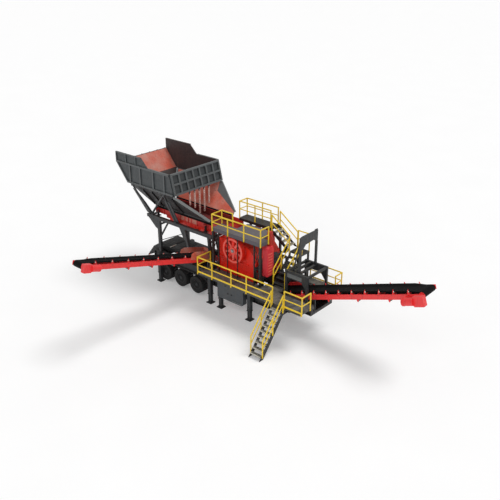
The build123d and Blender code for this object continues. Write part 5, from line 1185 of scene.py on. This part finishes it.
@dataclass
class Conveyor:
    """Roll ends, wing rolls, return rolls and skirt board of one belt conveyor.

    Places run along the belt from its tail; heights are from the frame's foot.
    """

    trailer: Trailer
    name: str
    tail: Point
    turn: float
    rise: float
    belt: float
    frame: float
    stations: tuple[float, float, int]
    returns: tuple[float, ...]
    boards: tuple[float, float] | None = None
    depth: float = 0.25
    lift: float = 0.06
    roll: float = 0.045

    def place(self) -> Matrix:
        """Place of the conveyor's own frame in the layout."""
        lean = Matrix.Rotation(math.radians(-self.rise), 4, "Y")
        return Matrix.Translation(self.tail) @ Matrix.Rotation(math.radians(self.turn), 4, "Z") @ lean

    def along(self) -> list[Matrix]:
        """Place of each carrying station."""
        first, last, count = self.stations
        step = (last - first) / (count - 1)
        return [Matrix.Translation((first + i * step, 0, 0)) for i in range(count)]

    def roll_ends(self) -> Thing:
        """Roll ends held in the raised brackets, on one side of a station, made pale as painted glints."""
        y = -(self.belt / 2 + 0.045)
        end = turned("roll_end", (0, y, self.depth + 0.095), (0, 1, 0.18), 0.038, 0.05, 14)
        with Bench(end) as bench:
            bench.facing("y")
            bench.inset(0.012)
            bench.inset(0.008, -0.006, each=True)
        return softened(end)

    def wing(self) -> Thing:
        """Tapered-seat wing roll between the flat roll and the bracket."""
        inner = -self.belt * 0.30
        outer = -(self.belt / 2 + 0.01)
        low = self.depth + self.lift - self.roll - 0.062
        high = self.depth + self.lift - self.roll - 0.02
        middle = (0, (inner + outer) / 2, (low + high) / 2)
        wing = turned("wing_roll", middle, (0, outer - inner, high - low), self.roll * 0.7,
                      math.hypot(outer - inner, high - low), 16)
        return softened(framed(wing, "y", 0.010, 0.004, each=True), 0.002)

    def return_roll(self) -> Thing:
        """Return roll under the frame on two drop brackets."""
        roll = turned("return_roll", (0, 0, -0.075), (0, 1, 0), self.roll * 0.9, self.frame - 0.12, 16)
        return softened(framed(roll, "y", 0.014, 0.006, each=True), 0.002)

    def hanger(self) -> Thing:
        """Drop bracket of a return roll on the near side of the frame."""
        y = -self.frame / 2
        plate = slab("hanger", (-0.05, y + 0.012, -0.13), (0.05, y + 0.024, -0.001))
        with Bench(plate) as bench:
            bench.cut((0, 0, -0.06), (0, 0, 1))
            bench.vertices(lambda place: place.z < -0.1)
            bpy.ops.transform.resize(value=(0.5, 1, 1), center_override=(0, y, -0.13))
            bench.facing("+z")
            bench.draw((0, 0, 0.0005))
        return softened(plate)

    def board(self, low: float, high: float) -> Thing:
        """Skirt board over the far edge of the belt, standing on feet between the stations."""
        y = self.belt / 2 + 0.10
        sheet = slab("skirt_board", (low, y, self.depth + 0.065), (high, y + 0.012, self.depth + 0.29))
        with Bench(sheet) as bench:
            bench.step("+y", (0.035, -0.005))
            bench.facing("+z")
            bench.draw((0, 0.03, 0.012))
        pieces = [softened(sheet)]
        for s in (low + 0.08, (low + high) / 2, high - 0.08):
            foot = slab("board_foot", (s - 0.03, y + 0.012, self.depth + 0.0005),
                        (s + 0.03, y + 0.032, self.depth + 0.2))
            with Bench(foot) as bench:
                bench.vertices(lambda place: place.z > self.depth + 0.1 and place.y > y + 0.02)
                bench.move((0, -0.012, 0))
            pieces.append(foot)
        return fused(pieces, "skirt_board")

    def side_bolts(self) -> list[tuple[Vector, Vector]]:
        """Bolt heads of each station on the channels' webs."""
        place = self.place()
        spots = []
        for station in self.along():
            for side in Side:
                out = place.to_3x3() @ Vector((0, side.value, 0))
                for s in (-0.05, 0.05):
                    spot = place @ station @ Vector((s, side.value * self.frame / 2, self.depth - 0.035))
                    spots.append((self.trailer.at(*spot), out))
        return spots

    def build(self) -> None:
        """Fit the rolls, the skirt board and the bolts."""
        place = self.place()
        spots = [Matrix.Translation((s, 0, 0)) for s in self.returns]
        for piece, places, what, finish in (
                # the roll ends' pale steel is painted glints along the brackets
                (both_sides(self.roll_ends()), self.along(), "roll_ends", PALE_STEEL),
                (both_sides(self.wing()), self.along(), "wing_rolls", ROLL_STEEL),
                (self.return_roll(), spots, "return_rolls", ROLL_STEEL),
                (both_sides(self.hanger()), spots, "return_hangers", CONVEYOR_RED)):
            self.trailer.fit(repeated(piece, places, f"{self.name}_{what}"), finish, place)
        if self.boards:
            self.trailer.fit(self.board(*self.boards), CONVEYOR_RED, place)
        BoltSet(0.030, 0.018).set_out(f"{self.name}_station_bolts", self.side_bolts())


@dataclass
class Flight:
    """Open-bar gratings laid on the dark treads of one stair flight."""

    trailer: Trailer
    name: str
    top: Point
    bottom: Point
    half_width: float
    steps: int
    depth: float = 0.21
    bars: int = 9
    finish: Finish = PALE_STEEL

    def grating(self) -> Thing:
        """One grating: a border, a nosing and bearing bars, its width along X."""
        w, d, t = self.half_width - 0.004, self.depth / 2, 0.014
        border = slab("tread_border", (-w, -d, 0), (w, d, t))
        bored(border, 0.022, "z")
        nosing = slab("tread_nosing", (-w, -d - 0.012, -0.02), (w, -d, t))
        pieces = [border, framed(nosing, "+z", 0.003, -0.002)]
        for i in range(self.bars):
            x = -w + 2 * w * (i + 1) / (self.bars + 1)
            bar = slab("bearing_bar", (x - 0.010, -d + 0.018, 0.001), (x + 0.010, d - 0.018, t - 0.001))
            pieces.append(softened(bar, 0.002))
        return fused(pieces, "grating")

    def build(self) -> None:
        """Lay a grating on every tread."""
        top, bottom = Vector(self.top), Vector(self.bottom)
        run = bottom - top
        turn = Matrix.Rotation(math.atan2(run.y, run.x) + math.pi / 2, 4, "Z")
        places = []
        for i in range(1, self.steps + 1):
            places.append(Matrix.Translation(top + run * (i / (self.steps + 1))) @ turn)
        treads = repeated(self.grating(), places, f"{self.name}_gratings")
        self.trailer.fit(treads, self.finish)


@dataclass
class ChassisTrim:
    """Small fittings of the jacks, tank, portal, motor, end cover, beams and power pack."""

    trailer: Trailer
    jack_xs: tuple[float, ...] = (-0.3, 4.01, 4.85, 7.04)
    jack_y: float = 1.382
    collar_z: float = 0.56
    holes: int = 3
    tank_face: float = 1.56
    boss_xs: tuple[float, ...] = (5.55, 5.83)
    portal_face: float = 0.88
    louvre_foot: float = 2.80
    louvre_pitch: float = 0.16673
    louvre_count: int = 8
    cover_face: float = 7.96
    pack_top: float = 2.15
    lid_spans: tuple[tuple[float, float], ...] = ((-0.85, 0.0), (0.1, 0.95), (1.05, 1.9))
    lid_half: float = 0.72
    lid_panels: int = 8

    def collar(self) -> Thing:
        """Square collar round a jack's outer tube."""
        collar = slab("jack_collar", (-0.130, -0.130, 0), (0.130, 0.130, 0.055))
        return softened(bored(collar, 0.0195, "z"), 0.004)

    def pin(self) -> Thing:
        """Locking pin through a jack, headed at both ends."""
        pin = turned("jack_pin", (0, 0, 0.19), (0, 1, 0), 0.020, 0.30, 16)
        with Bench(pin) as bench:
            bench.facing("y")
            bench.draw((0, 0, 0))
            bench.inset(-0.012)
            bench.inset(0.006, 0.003, each=True)
        return softened(pin, 0.002)

    def hole_rims(self) -> Thing:
        """Dark rims of the pin holes on a jack's inner leg."""
        rims = []
        for k in range(self.holes):
            rim = ring("hole_rim", 0.022, 0.012, 0.004, 20)
            rim.data.transform(Matrix.Translation((0, -0.0997, -0.12 - 0.13 * k)))
            rims.append(rim)
        return fused(rims, "hole_rims")

    def jacks(self) -> None:
        """Collars, pins and hole rims on every jack."""
        places = [Matrix.Translation((x, side.value * self.jack_y, self.collar_z))
                  for x in self.jack_xs for side in Side]
        pieces = (self.collar(), self.pin(), self.hole_rims())
        for piece, finish in zip(pieces, (GREY_ENAMEL, BOLT_STEEL, BLACK_ENAMEL)):
            self.trailer.fit(repeated(piece, places, piece.name + "s"), finish)

    def tank(self) -> None:
        """Two round bosses on the tank's near face, and a pale bar that is a painted highlight along its
        bottom edge.
        """
        y = -self.tank_face
        bosses = []
        for x in self.boss_xs:
            boss = turned("tank_boss", (x, y - 0.012, 1.18), (0, 1, 0), 0.048, 0.024, 20)
            bosses.append(softened(stepped(boss, "-y", (0.014, 0.014)), 0.002))
        self.trailer.fit(fused(bosses, "tank_bosses"), BLACK_ENAMEL)
        # pale bar: painted highlight on the edge of the tank's bottom flange
        bar = slab("tank_painted_highlight_bar", (5.85, y - 0.02, 0.80), (6.62, y, 0.86))
        self.trailer.fit(softened(framed(bar, "-y", 0.012, 0.004)), RIM_ENAMEL)

    def plate(self) -> None:
        """Bare pale plate in a raised border on the portal's near beam."""
        y = -self.portal_face
        plate = slab("portal_plate", (9.14, y - 0.010, 3.21), (10.14, y, 3.43))
        self.trailer.fit(softened(stepped(plate, "-y", (0.018, 0.005)), 0.002), RIM_ENAMEL)

    def motor_box(self) -> None:
        """Terminal box on the motor with its lid and cable glands."""
        box = slab("terminal_box", (7.28, -0.22, 3.655), (7.50, 0.06, 3.80))
        with Bench(box) as bench:
            bench.facing("+z")
            bench.inset(-0.008)
            bench.draw((0, 0, 0.014))
            bench.inset(0.03, 0.006)
        glands = []
        for y in (-0.15, -0.02):
            gland = turned("cable_gland", (7.265, y, 3.72), (1, 0, 0), 0.022, 0.03, 6)
            glands.append(framed(gland, "-x", 0.006, 0.008))
        self.trailer.fit(fused([softened(box, 0.004)] + glands, "terminal_box"), GREY_ENAMEL)

    def louvres(self) -> None:
        """Pressed hoods over the end cover's slots, in the pale pink of painted highlights."""
        pitch, x = self.louvre_pitch, self.cover_face
        hoods = []
        for i in range(self.louvre_count):
            z = self.louvre_foot + pitch * (i + 0.6)
            hood = slab("louvre_hood", (x - 0.03, -0.935, z + 0.004),
                        (x + 0.012, -0.565, z + pitch * 0.45 - 0.004))
            with Bench(hood) as bench:
                bench.vertices(lambda place: place.x > x and place.z > z + 0.03)
                bench.move((-0.032, 0, 0))
                bench.facing("-z")
                bench.inset(0.006, -0.01)
            hoods.append(softened(hood, 0.004))
        self.trailer.fit(fused(hoods, "cover_louvres"), HIGHLIGHT_RED)

    def infill(self) -> None:
        """Stepped infill deck on the near beam between the end cover and the inner deck."""
        deck = slab("infill_deck", (7.86, -1.272, 2.1005), (8.30, -0.80, 2.33))
        with Bench(deck) as bench:
            bench.facing("x")
            bench.inset(0.03, -0.03, each=True)
            bench.facing("+z")
            bench.inset(0.012, 0.004)
        self.trailer.fit(softened(deck, 0.004), WALK_PLATE)

    def pack(self) -> None:
        """Ribbed lids and a hinge rail on the power pack's flat top."""
        lids, top, half = [], self.pack_top, self.lid_half
        for x0, x1 in self.lid_spans:
            lid = slab("pack_lid", (x0, -half, top), (x1, half, top + 0.012))
            with Bench(lid) as bench:
                for i in range(1, self.lid_panels):
                    bench.cut((0, -half + 2 * half * i / self.lid_panels, 0), (0, 1, 0))
                bench.facing("+z")
                bench.inset(0.03, 0.012, each=True)
            lids.append(softened(lid))
        self.trailer.fit(fused(lids, "pack_lids"), BLACK_ENAMEL)
        rail = slab("pack_hinge_rail", (0.015, -0.79, top), (0.055, -0.29, top + 0.04))
        self.trailer.fit(softened(framed(rail, "+z", 0.008, 0.006), 0.004), PALE_STEEL)

    def build(self) -> None:
        """Fit all of it."""
        for fit in (self.jacks, self.tank, self.plate, self.motor_box, self.louvres, self.infill, self.pack):
            fit()


@dataclass
class RailFeet:
    """Bolted clamp plates of the near walkway's posts."""

    trailer: Trailer
    walk_xs: tuple[float, ...] = (4.015, 5.13, 6.55, 7.64, 9.415, 10.185, 11.295)
    walk_y: float = -2.355
    walk_z: float = 2.345
    size: float = 0.075

    def foot(self) -> Thing:
        """Clamp plate with two bolts on the deck edge behind a post, its face towards minus Y."""
        half = self.size / 2
        plate = slab("post_clamp", (-half, -0.034, -0.11), (half, -0.0255, -0.02))
        lean = Matrix.Rotation(math.pi / 2, 4, "X")
        places = [Matrix.Translation((x, -0.034, -0.065)) @ lean for x in (-0.022, 0.022)]
        bolts = repeated(BoltSet(0.024, 0.014).head(), places, "clamp_bolts")
        return fused([framed(plate, "-y", 0.006, 0.003), bolts], "post_clamp")

    def build(self) -> None:
        """Fit a clamp at every near post."""
        places = [Matrix.Translation((x, self.walk_y, self.walk_z)) for x in self.walk_xs]
        self.trailer.fit(repeated(self.foot(), places, "post_clamps"), YELLOW_ENAMEL)


@dataclass
class Studio:
    """Pale floor, soft light and the camera at the photograph's place."""

    trailer: Trailer
    camera_at: Point = (28.090, -25.510, 18.78)
    azimuth: float = 41.28
    elevation: float = 24.29
    lens: float = 47.557
    sensor: float = 36.0
    shift: tuple[float, float] = (0.004, -0.002)
    sight: float = 500.0
    floor_size: float = 3000.0
    whiteness: float = 0.15
    glow: float = 1.42
    sky: float = 0.37
    seen_sky: float = 0.975
    # name, energy, angle in the sky and turn of each lamp, in degrees
    lamps: tuple[tuple[str, float, float, Point], ...] = (
        ("key_lamp", 1.5, 26, (-14, 18, 0)), ("fill_lamp", 0.75, 50, (50, 24, 0)))

    def floor(self) -> None:
        """Pale matt floor under the jack legs, brighter to the camera than to the plant."""
        bpy.ops.mesh.primitive_plane_add(size=self.floor_size)
        floor = bpy.context.object
        floor.name = "studio_floor"
        material = bpy.data.materials.new("pale_floor_paint")
        p = Palette(material)
        p.wire(p.blend(p.patches(4000, 2, 0.3, 0.7), "#fbfbfb", "#fdfdfd"), "Base Color")
        p.wire(0.9, "Roughness")
        p.wire(0.1, "Specular IOR Level")
        glow = p.add("Emission", {"Color": linear("#fdfdfd"), "Strength": self.glow}).outputs["Emission"]
        share = p.times(p.add("LightPath").outputs["Is Camera Ray"], self.whiteness)
        mixed = p.add("MixShader", None, i0=share, i1=p.shader.outputs["BSDF"], i2=glow)
        p.tree.links.new(mixed.outputs["Shader"], p.tree.nodes["Material Output"].inputs["Surface"])
        floor.data.materials.append(material)

    def lights(self) -> None:
        """Even sky, near white to the camera and dimmer as a light, with two wide lamps."""
        world = bpy.data.worlds.new("studio_sky")
        bpy.context.scene.world = world
        p = Palette(world)
        sky = p.tree.nodes["Background"]
        sky.inputs["Color"].default_value = (1, 1, 1, 1)
        seen = p.add("LightPath").outputs["Is Camera Ray"]
        span = {"operation": "MULTIPLY_ADD", 1: self.seen_sky - self.sky, 2: self.sky}
        p.tree.links.new(p.add("Math", span, i0=seen).outputs["Value"], sky.inputs["Strength"])
        for name, energy, angle, turn in self.lamps:
            bpy.ops.object.light_add(type="SUN", rotation=[math.radians(part) for part in turn])
            lamp = bpy.context.object
            lamp.name = name
            lamp.data.energy = energy
            lamp.data.angle = math.radians(angle)

    def camera(self) -> None:
        """Camera at the photograph's view."""
        a, e = math.radians(self.azimuth), math.radians(self.elevation)
        back = Vector((math.sin(a) * math.cos(e), -math.cos(a) * math.cos(e), math.sin(e)))
        bpy.ops.object.camera_add(location=self.trailer.at(*self.camera_at))
        camera = bpy.context.object
        camera.name = "photo_camera"
        camera.rotation_mode = "QUATERNION"
        camera.rotation_quaternion = (-back).to_track_quat("-Z", "Y")
        camera.data.lens = self.lens
        camera.data.sensor_width = self.sensor
        camera.data.shift_x, camera.data.shift_y = self.shift
        camera.data.clip_end = self.sight
        bpy.context.scene.camera = camera

    def build(self) -> None:
        """Set up floor, lights and camera."""
        self.floor()
        self.lights()
        self.camera()
        bpy.context.scene.view_settings.view_transform = "Standard"


CONVEYORS = (
    {"name": "main", "tail": (4.9, 0.0, 0.215), "turn": 0.0, "rise": 19.7, "belt": 1.0, "frame": 1.3,
     "stations": (0.731, 11.85, 15), "returns": (7.2, 9.0, 10.8), "boards": (3.62, 4.58)},
    {"name": "side", "tail": (3.295, -0.35, 2.22), "turn": -90.0, "rise": 16.7, "belt": 0.6, "frame": 0.85,
     "stations": (0.731, 8.9, 9), "returns": (3.6, 5.2, 6.8)},
)
FLIGHTS = (
    {"name": "ground", "top": (9.8, -2.33, 2.345), "bottom": (9.8, -4.25, 0.0),
     "half_width": 0.34, "steps": 9},
    {"name": "upper", "top": (6.87, 0.91, 4.9), "bottom": (8.25, 0.91, 3.92),
     "half_width": 0.318, "steps": 4},
    {"name": "lower", "top": (8.65, 0.56, 3.92), "bottom": (8.65, -1.01, 2.345),
     "half_width": 0.348, "steps": 6, "finish": GREY_ENAMEL},
)


def main() -> None:
    """Build the plant's looks in order and report each piece."""
    paint_nodes()
    trailer = Trailer.found()
    for part in (RoadWheels, ChainCurtain, FeederSprings, Funnel, HopperTrim, FeederPlates, FlywheelFaces):
        part(trailer).build()
    for layout in CONVEYORS:
        Conveyor(trailer, **layout).build()
    for layout in FLIGHTS:
        Flight(trailer, **layout).build()
    for part in (ChassisTrim, RailFeet, Studio):
        part(trailer).build()


if __name__ == "__main__":
    main()
